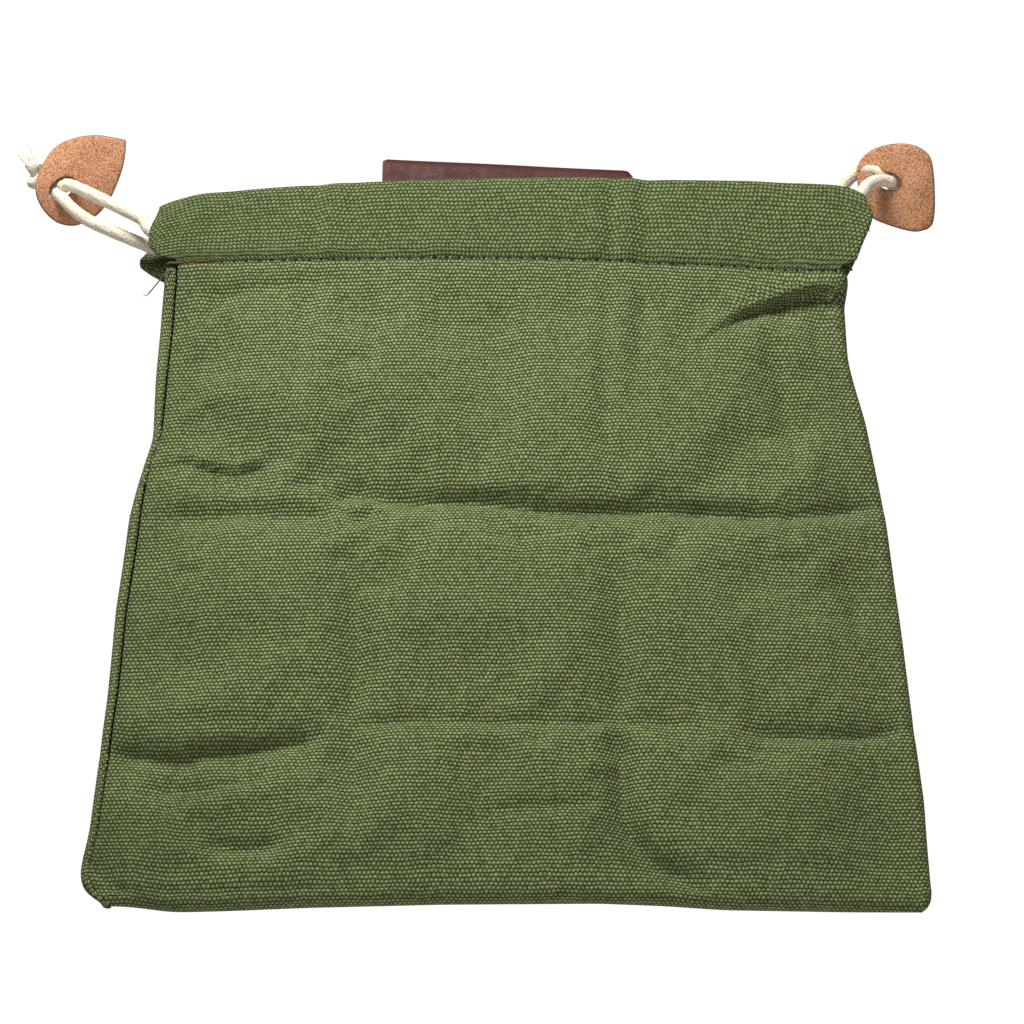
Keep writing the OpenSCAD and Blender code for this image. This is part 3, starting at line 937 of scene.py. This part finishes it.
def casing_rows(side, share_x, foot_x, foot_uv):
    """One casing's rows above the body's last row, and their cloth map."""
    ends = (HEM_LEFT, HEM_RIGHT) if side < 0 else (BACK_HEM_LEFT, BACK_HEM_RIGHT)
    rows, maps = [], []
    for out, up, travelled in list(zip(*casing_outline(int(76 / GRID))))[1:]:
        z0 = STITCH_Z + up * (BAG_TOP - STITCH_Z)
        grown = smooth(0, 0.12, up) if out > 0 else 1.0
        cut_back = INNER_CUT * smooth(0.1, -0.8, out)
        x_low, x_high = profile(z0, ends[0]) + cut_back, profile(z0, ends[1]) - cut_back
        x = x_low + share_x * (x_high - x_low)
        x = foot_x * (1 - grown) + x * grown
        low, high = profile(x, STITCH_LINE), profile(x, TOP_EDGE)
        z = low + up * (high - low)
        bulge = (CASING_WALL if out > 0 else CASING_HALF) * out
        fold = hem_relief(x, z) * 0.8 + ripple(x, z, 12, 34, 0.16)
        sag = fold if side < 0 else ripple(x, z, 14, 34, 0.2)
        y = side * (CASING_Y + bulge + sag * (0.25 + 0.75 * max(out, 0.0)))
        rows.append(np.stack([x, y, z], axis=1))
        rise = weave_height(STITCH_Z + travelled) - weave_height(STITCH_Z)
        maps.append(np.stack([foot_uv[:, 0], foot_uv[:, 1] + rise], axis=1))
    return rows, maps


def bag_mesh():
    """The whole canvas bag as one sheet: the body's rows, then the two casings."""
    rows, maps = zip(*[body_row(share) for share in body_rows()])
    grid, plain = np.array(rows), np.array(maps)
    follow_folds(grid, plain)
    width = grid.shape[1]
    body, uv = grid.reshape(-1, 3), plain.reshape(-1, 2)
    faces = grid_faces(len(rows), width)
    for side, first, share_x in ((-1, FRONT_FIRST, ACROSS), (1, BACK_FIRST, ACROSS[::-1])):
        foot = (len(rows) - 1) * width + first
        start = len(body)
        block = slice(foot, foot + COLS)
        made, made_uv = casing_rows(side, share_x, body[block, 0], uv[block])
        body = np.concatenate([body] + made)
        uv = np.concatenate([uv] + made_uv)
        for k in range(len(made)):
            below = foot if k == 0 else start + (k - 1) * COLS
            above = start + k * COLS
            for c in range(COLS - 1):
                faces.append((below + c, below + c + 1, above + c + 1, above + c))
    return body, faces, uv


bag_points, bag_faces, bag_uv = bag_mesh()
bag = new_object("canvas_bag", bag_points, bag_faces, bag_uv, CANVAS)
clean(bag, 0.02)
turn_out(bag)
thicken = bag.modifiers.new("thickness", "SOLIDIFY")
thicken.thickness = CLOTH_T * MM
thicken.offset = -1
apply_modifiers(bag)
halves = [f"{part}_{half}" for part in ("front_panel", "back_panel", "side_seam", "side_fold")
          for half in ("upper", "lower")]
attach(bag, halves + ["bottom_seam", "front_casing", "back_casing"])
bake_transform(bag)


# ---------------------------------------------------------------- tubes


def frames_along(path):
    """Two directions square to the path at each point, without twist."""
    tangent = np.gradient(path, axis=0)
    tangent /= np.linalg.norm(tangent, axis=1)[:, None]
    side = np.cross(tangent[0], [0.1, 0.2, 1.0])
    sides = []
    for t in tangent:
        side = side - t * (side @ t)
        side /= np.linalg.norm(side)
        sides.append(side.copy())
    sides = np.array(sides)
    return sides, np.cross(tangent, sides)


def braid(angle, travel):
    """Height of an eight-strand braid's surface, from 0 to 1."""
    strands, pitch = 4, 9.5
    spin = travel / pitch * strands
    a = angle * strands / (2 * math.pi) + spin
    b = angle * strands / (2 * math.pi) - spin
    over = (np.floor(2 * a) + np.floor(2 * b)) % 2
    across_a = np.abs(np.cos(2 * math.pi * a))
    across_b = np.abs(np.cos(2 * math.pi * b))
    return np.where(over > 0, np.sqrt(np.abs(np.sin(2 * math.pi * b))) * 0.7 + 0.3 * across_a,
                    np.sqrt(np.abs(np.sin(2 * math.pi * a))) * 0.7 + 0.3 * across_b)


def tube(points, radius, step=0.42, around=40, braided=True, taper=None):
    """A closed round tube along a path, as (points, faces)."""
    path, travel = along_path(points, step)
    side, up = frames_along(path)
    angle = np.linspace(0, 2 * math.pi, around, endpoint=False)
    grid_angle, grid_travel = np.meshgrid(angle, travel)
    size = np.full(grid_angle.shape, float(radius))
    if braided:
        size = size * (0.79 + 0.25 * braid(grid_angle, grid_travel))
    if taper is not None:
        size = size * taper(travel / travel[-1])[:, None]
    rings = (path[:, None, :] + side[:, None, :] * (np.cos(grid_angle) * size)[..., None]
             + up[:, None, :] * (np.sin(grid_angle) * size)[..., None])
    rows = len(path)
    faces = grid_faces(rows, around, wrap=True)
    points = rings.reshape(-1, 3)
    first, last = len(points), len(points) + 1
    points = np.concatenate([points, path[:1], path[-1:]])
    for c in range(around):
        d = (c + 1) % around
        faces.append((first, d, c))
        faces.append((last, (rows - 1) * around + c, (rows - 1) * around + d))
    return points, faces


# ---------------------------------------------------------------- cords

CORD_R = 2.15
CAD_CORD_R = (box_mm("left_cord_turn")[1][2] - box_mm("left_cord_turn")[0][2]) / 2


def joint_vector(name, key):
    return np.array(JOINTS[name][key], float)


class CordEnd:
    """The loose end of one cord, in its own frame: x along the strands away
    from the bag, y towards the wearer and z square to both."""

    def __init__(self, side, swing, slide, hole_at, knot_at, knot_shift):
        self.side = side
        pivot = joint_vector(swing, "pos_m") / MM - ORIGIN
        self.pivot = np.array([pivot[0], 0.0, pivot[2]])
        self.along = joint_vector(slide, "axis")
        self.along /= np.linalg.norm(self.along)
        self.depth = np.array([0.0, 1.0, 0.0])
        self.up = np.array([-self.along[2] * side, 0.0, self.along[0] * side])
        self.hole_at = hole_at
        self.knot = np.array(knot_shift, float) + [knot_at, 0, 0]

    def at(self, x, y, z):
        """Cord-end coordinates to bag coordinates."""
        x, y, z = (np.asarray(v, float)[..., None] for v in (x, y, z))
        return self.pivot + x * self.along + y * self.depth + z * self.up


LEFT = CordEnd(-1, "left_cord_swing", "left_tab_slide", 37.0, 52.5, (-3.0, 6.0, 2.6))
RIGHT = CordEnd(1, "right_cord_swing", "right_tab_slide", 14.2, 34.5, (-13.0, 8.6, -3.0))
STRAND_OFFSET = CAD_CORD_R + 0.3


# How far each cord drops inside the hem towards its far end, by its own side
FAR_DROP = {-1: 0.0, 1: 5.0}

# Places inside the hem, in mm from the end of the casing: where a strand starts
# to bend towards the mouth, where it meets its far turn, and the turn itself
MOUTH_DEPTH = 30
RUN_DEPTH = 22
TURN_DEPTH = 9.5

# How far inside the hem the cord is braided: as far as it can be pulled out
BRAID_START = MOUTH_DEPTH + JOINTS["left_cord_pull"]["range_m"][1] / MM


def cord_piece(name, end, nodes, strands):
    """Both strands of a cord from inside the casings to the knot."""
    z = end.pivot[2]
    inside = -end.side * (CASING_END - RUN_DEPTH)
    far_z = z - FAR_DROP[end.side]
    parts = []
    for s in (-1, 1):
        run = [(inside, s * CASING_Y, far_z), (inside / 2, s * CASING_Y, (z + far_z) / 2),
               (0, s * CASING_Y, z), (end.side * (CASING_END - BRAID_START), s * CASING_Y, z)]
        parts.append(tube(run, CORD_R, step=3.0, around=12, braided=False))
        depths = np.linspace(BRAID_START, MOUTH_DEPTH, 5)
        mouth = [(end.side * (CASING_END - depth), s * CASING_Y, z) for depth in depths]
        knot_side = end.at(end.knot[0] - 3.5, end.knot[1] * 0.85, end.knot[2] - s * STRAND_OFFSET * 0.6)
        parts.append(tube(mouth + strands[s] + [knot_side], CORD_R))
    piece = join(name, parts, CORD)
    attach(piece, nodes)
    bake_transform(piece)


def frayed_end(tip, before, seed, count=16):
    """Loose fibres that fan out of a cut cord."""
    rng = np.random.default_rng(seed)
    way = (tip - before) / np.linalg.norm(tip - before)
    parts = []
    for _ in range(count):
        spread = rng.normal(0, 1, 3)
        root = tip - way * 1.5 + spread * 0.7
        middle = tip + way * rng.uniform(0.8, 1.6) + spread * 1.0
        end = tip + way * rng.uniform(2.0, 3.6) + spread * 1.5
        parts.append(tube([root, middle, end], 0.32, step=1.0, around=6, braided=False))
    return parts


def knot_piece(name, end, body, nodes, way, stub_length):
    """An overhand knot pulled tight, with two frayed cut ends that point along
    way: along the strands and square to them."""
    turn = np.linspace(0, 2 * math.pi, 60)
    loop = np.stack([-1.8 * np.sin(3 * turn),
                     1.42 * (np.sin(turn) + 2 * np.sin(2 * turn)),
                     1.42 * (np.cos(turn) - 2 * np.cos(2 * turn))], axis=1)
    loop = loop[:-1:3]
    loop = np.concatenate([loop, loop[:2]]) + end.knot
    parts = [tube(end.at(*loop.T), CORD_R * 0.98)]
    for s in (-1, 1):
        stub = []
        for reach in (0.0, stub_length / 2, stub_length):
            apart = 2.0 + 0.1 * reach
            step = (way[0] * reach + s * apart * way[1], s * 0.2 * reach, way[1] * reach + s * apart * way[0])
            stub.append(end.at(*(end.knot + step)))
        parts.append(tube(stub, CORD_R * 0.96))
        parts += frayed_end(stub[-1], stub[-2], 40 + s)
    attach(join(name, parts, CORD), nodes, body)


def turn_piece(name, side, node):
    """The bend of a cord at the far end of the casings."""
    low, high = box_mm(node)
    z = (low[2] + high[2]) / 2 - ORIGIN[2] - FAR_DROP[-side]
    bend = CASING_END - TURN_DEPTH
    end_x = side * bend
    points = [(side * (bend - 10), -CASING_Y, z), (side * (bend - 4), -CASING_Y, z)]
    for degrees in (-90, -60, -30, 0, 30, 60, 90):
        a = math.radians(degrees)
        points.append((end_x + side * CASING_Y * math.cos(a), CASING_Y * math.sin(a), z))
    points += [(side * (bend - 4), CASING_Y, z), (side * (bend - 10), CASING_Y, z)]
    attach(join(name, [tube(points, CORD_R)], CORD), [node], "bag")


# How each strand runs from its casing to the tab's hole: -1 in front, 1 behind
LEFT_STRANDS = {
    -1: [(-112, -5.9, 231.6), (-117.5, -6.4, 231.0), (-121.2, -6.8, 233.0), (-124.0, -6.2, 237.4),
         (-129, -5.0, 241.0), (-136.6, -4.2, 245.6), (-145.6, -2.8, 251.2), (-151.2, -1.4, 254.4),
         (-153.6, 0.2, 254.9)],
    1: [(-112, 5.75, 231.6), (-119, 5.0, 232.0), (-126, 2.6, 233.6), (-134, 0.8, 236.4),
        (-143.4, -0.8, 240.4), (-149.4, -1.6, 244.8), (-152.8, -1.4, 248.8), (-154.9, 0.4, 251.4)],
}
RIGHT_STRANDS = {
    -1: [(110, -5.8, 244.6), (116, -5.9, 244.8), (120.6, -5.6, 247.2), (123.0, -4.8, 251.4),
         (126.4, -3.2, 254.6), (130.0, -1.6, 256.0), (132.6, 0.2, 256.4)],
    1: [(104, 5.75, 244.8), (110.6, 5.9, 247.4), (114.2, 6, 253.4), (117.4, 4.8, 258.8),
        (121.6, 2.4, 261.8), (126.4, 0.0, 261.6), (130.0, 0.6, 259.8)],
}

cord_piece("left_cord", LEFT, ["left_drawcord", "left_cord_tail"], LEFT_STRANDS)
cord_piece("right_cord", RIGHT, ["right_drawcord", "right_cord_tail"],
           RIGHT_STRANDS)
knot_piece("left_cord_knot", LEFT, "left_cord_end", ["left_knot"], (0.92, 0.39), 7.4)
knot_piece("right_cord_knot", RIGHT, "right_cord_end", ["right_knot"], (0.1, -0.99), 5.6)
turn_piece("left_cord_far_turn", 1, "left_cord_turn")
turn_piece("right_cord_far_turn", -1, "right_cord_turn")


# ---------------------------------------------------------------- leaf tabs

TAB_T = 1.9
TAB_SLOPE = math.tan(math.radians(27))
VIEW_SLOPE = math.tan(math.radians(33))

# Leaf outlines from the front, in mm to the right of the hole and above it
LEFT_LEAF = [(19.7, 20.2), (15.8, 21.2), (11.7, 22.0), (7.6, 21.8), (3.7, 20.8), (-0.1, 18.9),
             (-3.2, 15.8), (-5.4, 11.4), (-7.3, 6.2), (-8.1, 0.6), (-7.4, -4.5), (-5.2, -9.6),
             (-1.9, -13.4), (1.6, -15.0), (4.9, -14.9), (8.2, -13.0), (11.7, -10.2), (15.0, -4.9),
             (17.3, 1.5), (19.1, 8.4), (19.8, 14.5), (19.7, 20.2)]
RIGHT_LEAF = [(13.6, -19.6), (9.6, -20.6), (5.0, -19.6), (-0.6, -17.4), (-4.8, -14.9),
              (-6.9, -9.6), (-9.1, -4.8), (-10.3, 0.6), (-10.5, 4.8), (-8.6, 9.5),
              (-5.1, 13.0), (-0.6, 14.8), (4.6, 15.4), (8.9, 14.5), (12.4, 12.2), (14.4, 9.1),
              (15.4, 3.1), (15.9, -4.7), (16.0, -12.4), (15.4, -17.4), (13.6, -19.6)]


def tab_piece(name, end, body, node, outline, curl):
    """A suede leaf threaded on both strands, tilted so that they pass straight
    through its hole, and curled."""
    outer, _ = along_path([(x, 0, z) for x, z in outline], 0.9)
    around, rings = len(outer) - 1, 26
    right, above = outer[:-1, 0], outer[:-1, 2]
    along_x, along_z = end.along[0], end.along[2]
    angle = np.arctan2(right * -along_z + above * along_x, right * along_x + above * along_z)
    hole = 1 / np.sqrt((np.cos(angle) / 3.3) ** 2 + (np.sin(angle) / 5.0) ** 2)
    reach = np.hypot(right, above)
    share = np.linspace(0, 1, rings)[:, None]
    size = (hole + share * (reach - hole)) / reach
    right, above = right * size, above * size

    lean = -(right * along_x + above * along_z) * TAB_SLOPE
    lean = lean + curl(right, above) + 0.25 * np.sin(right * 0.35 + 1) * np.cos(above * 0.3)
    normal = np.array([along_x * TAB_SLOPE, 1.0, along_z * TAB_SLOPE])
    normal /= np.linalg.norm(normal)
    rim = np.clip((share - 0.94) / 0.06, 0, 1)
    edge_soft = np.sqrt(np.clip(1 - rim**2, 0.08, 1))
    centre = end.at(end.hole_at, 0, 0)
    middle = np.stack([right, lean, above + VIEW_SLOPE * lean], axis=-1) + centre
    layers = []
    for side in (-1, 1):
        layers.append((middle + side * TAB_T / 2 * edge_soft[..., None] * normal).reshape(-1, 3))
    count = rings * around
    points = np.concatenate(layers)
    faces = both_sides(rings, around, wrap=True)
    last = (rings - 1) * around
    for c in range(around):
        d = (c + 1) % around
        faces.append((c, d, count + d, count + c))
        faces.append((last + d, last + c, count + last + c, count + last + d))
    piece = new_object(name, points, faces, material=SUEDE)
    # Mask for the painted shade at the suede's rim and at the hole's edge.
    cut = np.maximum(smooth(0.955, 1.0, share[:, 0]), smooth(0.05, 0.0, share[:, 0]))
    store(piece, "edge", np.tile(np.repeat(cut, around), 2))
    clean(piece, 0.001)
    attach(piece, [node], body)


def left_curl(right, above):
    """The left tab's rim and tip bend a little away from the front."""
    return 0.006 * (right**2 + (above - 4) ** 2)


def right_curl(right, above):
    """The right tab's outer side rolls away from the front."""
    return 0.022 * np.clip(right - 6, 0, None) ** 2 + 0.003 * (above + 4) ** 2


tab_piece("left_leaf_tab", LEFT, "left_leaf_tab", "left_tab", LEFT_LEAF, left_curl)
tab_piece("right_leaf_tab", RIGHT, "right_leaf_tab", "right_tab", RIGHT_LEAF, right_curl)


# ---------------------------------------------------------------- belt loop

LOOP_LOW, LOOP_HIGH = (corner - ORIGIN for corner in box_mm("belt_loop"))
LEATHER_T = 2.0
LOOP_HALF_W = (LOOP_HIGH[0] - LOOP_LOW[0]) / 2
BELT_SLOT = 52
SLOT_BOTTOM = LOOP_HIGH[2] - LEATHER_T - 1 - BELT_SLOT
SLANT_Z = SLOT_BOTTOM - 6
TONGUE_END = SLANT_Z - 16
LOOP_END = TONGUE_END - 10
# The folded top slants: its lift at the middle, its slope, the height it takes
# to come in, and the extra drop of its right corner
TOP_LIFT = 1.7
TOP_SKEW = 0.057
LIFT_REACH = 60
CORNER_DROP = 1.4


def loop_path():
    """The middle of the leather seen from the side, as (y, z) points."""
    inner = LOOP_LOW[1] + LEATHER_T / 2
    outer = LOOP_HIGH[1] - LEATHER_T / 2
    fold_y, fold_r = (inner + outer) / 2, (outer - inner) / 2
    fold_z = LOOP_HIGH[2] - LEATHER_T / 2 - fold_r
    tongue = inner + LEATHER_T + 0.1
    path = [(inner, z) for z in np.linspace(LOOP_END, fold_z - 2, 34)]
    for degrees in np.linspace(180, 0, 13):
        a = math.radians(degrees)
        path.append((fold_y + fold_r * math.cos(a), fold_z + fold_r * math.sin(a)))
    path += [(outer, z) for z in np.linspace(fold_z - 2, SLOT_BOTTOM + 3, 22)]
    for share in np.linspace(0, 1, 9):
        soft = smooth(0, 1, share)
        path.append((outer + (tongue - outer) * soft, SLOT_BOTTOM + 1 - share * (SLOT_BOTTOM + 1 - SLANT_Z)))
    path += [(tongue, z) for z in np.linspace(SLANT_Z - 1, TONGUE_END, 8)]
    return np.array(path)


def belt_loop_piece():
    """Leather folded over at the top: a panel on the bag, the fold, and the
    strap that comes down behind the belt and back to the panel."""
    path = loop_path()
    cols = 60
    across = np.linspace(-1, 1, cols)
    tangent = np.gradient(path, axis=0)
    tangent /= np.linalg.norm(tangent, axis=1)[:, None]
    normal = np.stack([tangent[:, 1], -tangent[:, 0]], axis=1)
    layers, edge_highlight_mask = [], []
    top = LOOP_HIGH[2]
    for side in (-1, 1):
        grid = []
        edge_highlight_rows = []
        for k, (y, z) in enumerate(path):
            from_end = min(k, len(path) - 1 - k) / 2.0
            corner = 3.0 * (1 - smooth(0, 1, from_end / 2)) if from_end < 2 else 0.0
            half_w = LOOP_HALF_W - corner * 0.5
            x = across * half_w
            thin_x = np.sqrt(np.clip(1 - np.clip((np.abs(across) - 0.975) / 0.025, 0, 1) ** 2, 0.12, 1))
            thin_k = 0.45 if k in (0, len(path) - 1) else 1.0
            offset = side * LEATHER_T / 2 * thin_x * thin_k
            lift = smooth(top - LIFT_REACH, top, z) * (TOP_LIFT - TOP_SKEW * x)
            round_right = -CORNER_DROP * smooth(0.95, 1.0, across) * smooth(top - 12, top, z)
            wave = 0.25 * np.sin(x * 0.11 + 0.02 * z)
            grid.append(np.stack([x, y + offset * normal[k, 0] * -1 + wave * 0.4,
                                  z + offset * normal[k, 1] * -1 + lift + round_right], axis=1))
            # Painted highlight mask: the leather's sides and ends are lighter.
            edge = np.maximum(smooth(0.965, 1.0, np.abs(across)), 1.0 if k in (0, len(path) - 1) else 0.0)
            edge_highlight_rows.append(edge)
        layers.append(np.concatenate(grid))
        edge_highlight_mask.append(np.concatenate(edge_highlight_rows))
    rows, count = len(path), len(path) * cols
    faces = both_sides(rows, cols)
    for k in range(rows - 1):
        for c in (0, cols - 1):
            a, b = k * cols + c, (k + 1) * cols + c
            faces.append((a, b, b + count, a + count))
    for c in range(cols - 1):
        for k in (0, rows - 1):
            a = k * cols + c
            faces.append((a, a + 1, a + 1 + count, a + count))
    piece = new_object("leather_belt_loop", np.concatenate(layers), faces, material=LEATHER)
    store(piece, "edge", np.concatenate(edge_highlight_mask))
    clean(piece, 0.001)
    attach(piece, ["belt_loop"], "bag")


belt_loop_piece()


def rivet_pieces():
    """Two domed tubular rivets with a rolled rim."""
    low, high = (corner - ORIGIN for corner in box_mm("loop_rivets"))
    radius = (high[2] - low[2]) / 2
    z = (low[2] + high[2]) / 2
    seat = LOOP_LOW[1] + 2 * LEATHER_T + 0.12
    outline = [(0, 1.75), (1.0, 1.72), (2.0, 1.55), (2.8, 1.2), (3.3, 0.75), (3.55, 0.62),
               (3.85, 0.6), (4.05, 0.35), (4.05, 0.1), (3.9, -0.05), (1.6, -0.05), (1.6, -4.0), (0, -4.0)]
    around = 40
    parts = []
    for x in (low[0] + radius, high[0] - radius):
        points = []
        for r, out in outline:
            for a in np.linspace(0, 2 * math.pi, around, endpoint=False):
                points.append((x + r * math.cos(a), seat + out, z + r * math.sin(a)))
        faces = grid_faces(len(outline), around, wrap=True)
        parts.append((points, faces))
    piece = join("loop_rivet_pair", parts, BRASS)
    clean(piece, 0.005)
    attach(piece, ["loop_rivets"], "bag")


rivet_pieces()


# ---------------------------------------------------------------- stitches

STITCH_PITCH = 4.2
STITCH_LENGTH = 3.1
THREAD_R = 0.28


def stitch(points, radius=THREAD_R):
    """One stitch: a short thread that dips into the cloth at both ends."""
    return tube(points, radius, step=0.5, around=8, braided=False,
                taper=lambda t: 0.55 + 0.45 * np.sin(math.pi * np.clip(t, 0.04, 0.96)))


def shadow_bead(centre, radius, stretch=1.0):
    """A small near-black bead of painted shadow where a thread goes through the cloth."""
    points = []
    for v in np.radians([-90, -45, 0, 45, 90]):
        for u in np.radians(range(0, 360, 45)):
            points.append((centre[0] + stretch * radius * math.cos(v) * math.cos(u),
                           centre[1] + radius * math.sin(v),
                           centre[2] + radius * math.cos(v) * math.sin(u)))
    return np.array(points), grid_faces(5, 8, wrap=True)


def hem_stitches(side, ranges):
    """A row of stitches along the foot of a casing, and beads of painted shadow where the thread goes in."""
    parts, hole_shadows = [], []
    rng = np.random.default_rng(21 + side)
    for x0, x1 in ranges:
        for x in np.arange(x0, x1, STITCH_PITCH):
            wobble = rng.uniform(-0.15, 0.15)
            half = STITCH_LENGTH / 2 + rng.uniform(-0.15, 0.15)
            line = []
            for share in (-1, 0, 1):
                px = x + share * half
                z = float(profile(px, STITCH_LINE)) + 0.2 + wobble * share
                sink = 0.12 if share == 0 else -0.25
                y = front_stitch_y(px, z) - sink if side < 0 else CASING_Y + STITCH_OUT * CASING_WALL + sink
                line.append((px, y, z))
            parts.append(stitch(line))
            hole_shadows.append(shadow_bead(np.array(line[-1]) + [0.45, side * 0.1, 0], 0.75, 1.15))
    return parts, hole_shadows


def front_stitch_y(x, z):
    """The front cloth's surface at the stitch line."""
    return float(front_y(np.array([x]), np.array([z]))[0])


def thread_object(name, parts, nodes, hole_shadows=(), material=THREAD):
    """Stitches of one kind as one piece that rides the bag."""
    piece = join(name, list(parts) + list(hole_shadows), material)
    # The second material paints the needle-hole shadows near-black.
    piece.data.materials.append(NEEDLE_HOLE_SHADOW)
    threads = sum(len(faces) for _, faces in parts)
    index = [0] * threads + [1] * (len(piece.data.polygons) - threads)
    piece.data.polygons.foreach_set("material_index", index)
    attach(piece, nodes, "bag")


threads, hole_shadows = hem_stitches(-1, [(-98, 112)])
thread_object("front_hem_stitches", threads, ["front_hem_stitching"], hole_shadows)
threads, hole_shadows = hem_stitches(1, [(-112, -50), (52, 112)])
thread_object("back_hem_stitches", threads, ["back_hem_stitching"], hole_shadows)


def bar_tack_parts():
    """Close-set stitches that lock the left end of the front hem."""
    parts = []
    rng = np.random.default_rng(5)
    for x in np.arange(-113, -98, 1.1):
        z = float(profile(x, STITCH_LINE)) + 0.2
        y = front_stitch_y(x, z)
        rise = rng.uniform(-0.35, 0.35)
        crown = z + rng.uniform(-0.3, 0.3)
        line = [(x - 1.5, y + 0.15, z - rise), (x, y - 0.35, crown), (x + 1.5, y + 0.15, z + rise)]
        parts.append(stitch(line, 0.4))
    return parts


thread_object("hem_bar_tack", bar_tack_parts(), ["bar_tacks"], material=BROWN_THREAD)


def thread_tail_parts():
    """Two loose cut thread ends, one at each end of the hem."""
    left = [(-112.5, -6.6, 217.2), (-115, -7.6, 214.6), (-117.2, -8, 210.8), (-119.8, -8.4, 206.6),
            (-121.2, -8.6, 206)]
    right = [(118.6, -8.0, 241), (120, -8.8, 237.6), (121.4, -9.0, 233.4), (122.3, -9.0, 230.6)]
    return [tube(line, 0.24, step=0.6, around=8, braided=False,
                 taper=lambda t: 1 - 0.6 * smooth(0.8, 1, t)) for line in (left, right)]


thread_object("loose_thread_ends", thread_tail_parts(), ["thread_tails"])


def loop_stitch_parts():
    """Stitches that hold the leather to the bag."""
    edge = LOOP_HALF_W - 4
    panel = LOOP_LOW[1] + LEATHER_T
    tongue = panel + LEATHER_T + 0.1
    rivet_z = SLANT_Z - 8
    parts = []

    def run(a, b, y):
        a, b = np.array(a, float), np.array(b, float)
        length = np.linalg.norm(b - a)
        step = (b - a) / length
        for d in np.arange(STITCH_PITCH / 2, length - 1, STITCH_PITCH):
            line = []
            for share in (-1, 0, 1):
                x, z = a + step * (d + share * 1.4)
                line.append((x, y + (0.42 if share == 0 else -0.1), z))
            parts.append(stitch(line, 0.42))

    for x in (-edge, edge):
        run((x, SLOT_BOTTOM + 2), (x, BAG_TOP - 2), panel)
        run((x, LOOP_END + 4), (x, TONGUE_END - 1.5), panel)
    run((-edge, LOOP_END + 4), (edge, LOOP_END + 4), panel)
    run((-edge + 12, rivet_z), (edge - 12, rivet_z), tongue)
    return parts


thread_object("leather_stitches", loop_stitch_parts(), ["loop_stitching"])


# ---------------------------------------------------------------- stage


# Brightness the floor has for the camera only, so that it stays pale far from
# the lights and throws no light on the bag
FLOOR_GLOW = 0.55


def floor():
    """A plain pale floor well below the bag."""
    size, drop = 3000, 330
    points = [(-size, -size, -drop), (size, -size, -drop), (size, size, -drop), (-size, size, -drop)]
    n = Nodes("floor")
    grain = n.noise(n.coordinates(), 40.0)
    color = n.mix(n.ramp(grain, 0.3, 0.7), (0.86, 0.86, 0.86, 1), (0.88, 0.88, 0.88, 1))
    seen = n.node("ShaderNodeLightPath").outputs["Is Camera Ray"]
    n.shader.inputs["Emission Color"].default_value = (1, 1, 1, 1)
    n.feed(n.shader.inputs["Emission Strength"], n.times(seen, FLOOR_GLOW))
    obj = new_object("floor", points, [(0, 1, 2, 3)], material=n.finish(color, 0.9))


def backdrop_light():
    """A white world: bright to the camera, softer as a light."""
    world = bpy.data.worlds.new("white")
    bpy.context.scene.world = world
    world.use_nodes = True
    tree = world.node_tree
    background = tree.nodes["Background"]
    seen = tree.nodes.new("ShaderNodeBackground")
    seen.inputs["Color"].default_value = (1, 1, 1, 1)
    seen.inputs["Strength"].default_value = 1.05
    background.inputs["Color"].default_value = (1.0, 0.99, 0.97, 1)
    background.inputs["Strength"].default_value = 0.11
    pick = tree.nodes.new("ShaderNodeMixShader")
    rays = tree.nodes.new("ShaderNodeLightPath")
    output = tree.nodes["World Output"]
    tree.links.new(rays.outputs["Is Camera Ray"], pick.inputs["Fac"])
    tree.links.new(background.outputs[0], pick.inputs[1])
    tree.links.new(seen.outputs[0], pick.inputs[2])
    tree.links.new(pick.outputs[0], output.inputs["Surface"])


def area_light(name, at, target, size, power):
    """A square soft light at a place in bag coordinates, aimed at another."""
    data = bpy.data.lights.new(name, "AREA")
    data.size = size
    data.energy = power
    obj = bpy.data.objects.new(name, data)
    obj.location = place(at).tolist()
    aim = Vector(place(target).tolist()) - obj.location
    obj.rotation_euler = aim.to_track_quat("-Z", "Y").to_euler()
    bpy.context.scene.collection.objects.link(obj)


def camera():
    """The photograph's view: from in front of the bag and below its middle,
    looking up, so that the bottom edge is nearer than the hem."""
    target = np.array([1.6, -5.0, 128.3])
    distance, rise = 725, math.radians(25)
    data = bpy.data.cameras.new("camera")
    data.sensor_width = 36
    data.lens = 79.7
    obj = bpy.data.objects.new("camera", data)
    step = np.array([0, -math.cos(rise), -math.sin(rise)])
    obj.location = place(target + distance * step).tolist()
    obj.rotation_euler = (math.pi / 2 + rise, 0, 0)
    bpy.context.scene.collection.objects.link(obj)
    bpy.context.scene.camera = obj


floor()
backdrop_light()
middle = (0, 0, BAG_TOP / 2)
area_light("key", (-170, -520, 640), middle, size=0.28, power=8.2)
area_light("fill", (300, -900, 160), middle, size=0.9, power=0.9)
area_light("back", (200, 700, 500), middle, size=0.8, power=6)
camera()
view = bpy.context.scene.view_settings
view.view_transform = "Standard"
view.look = "None"
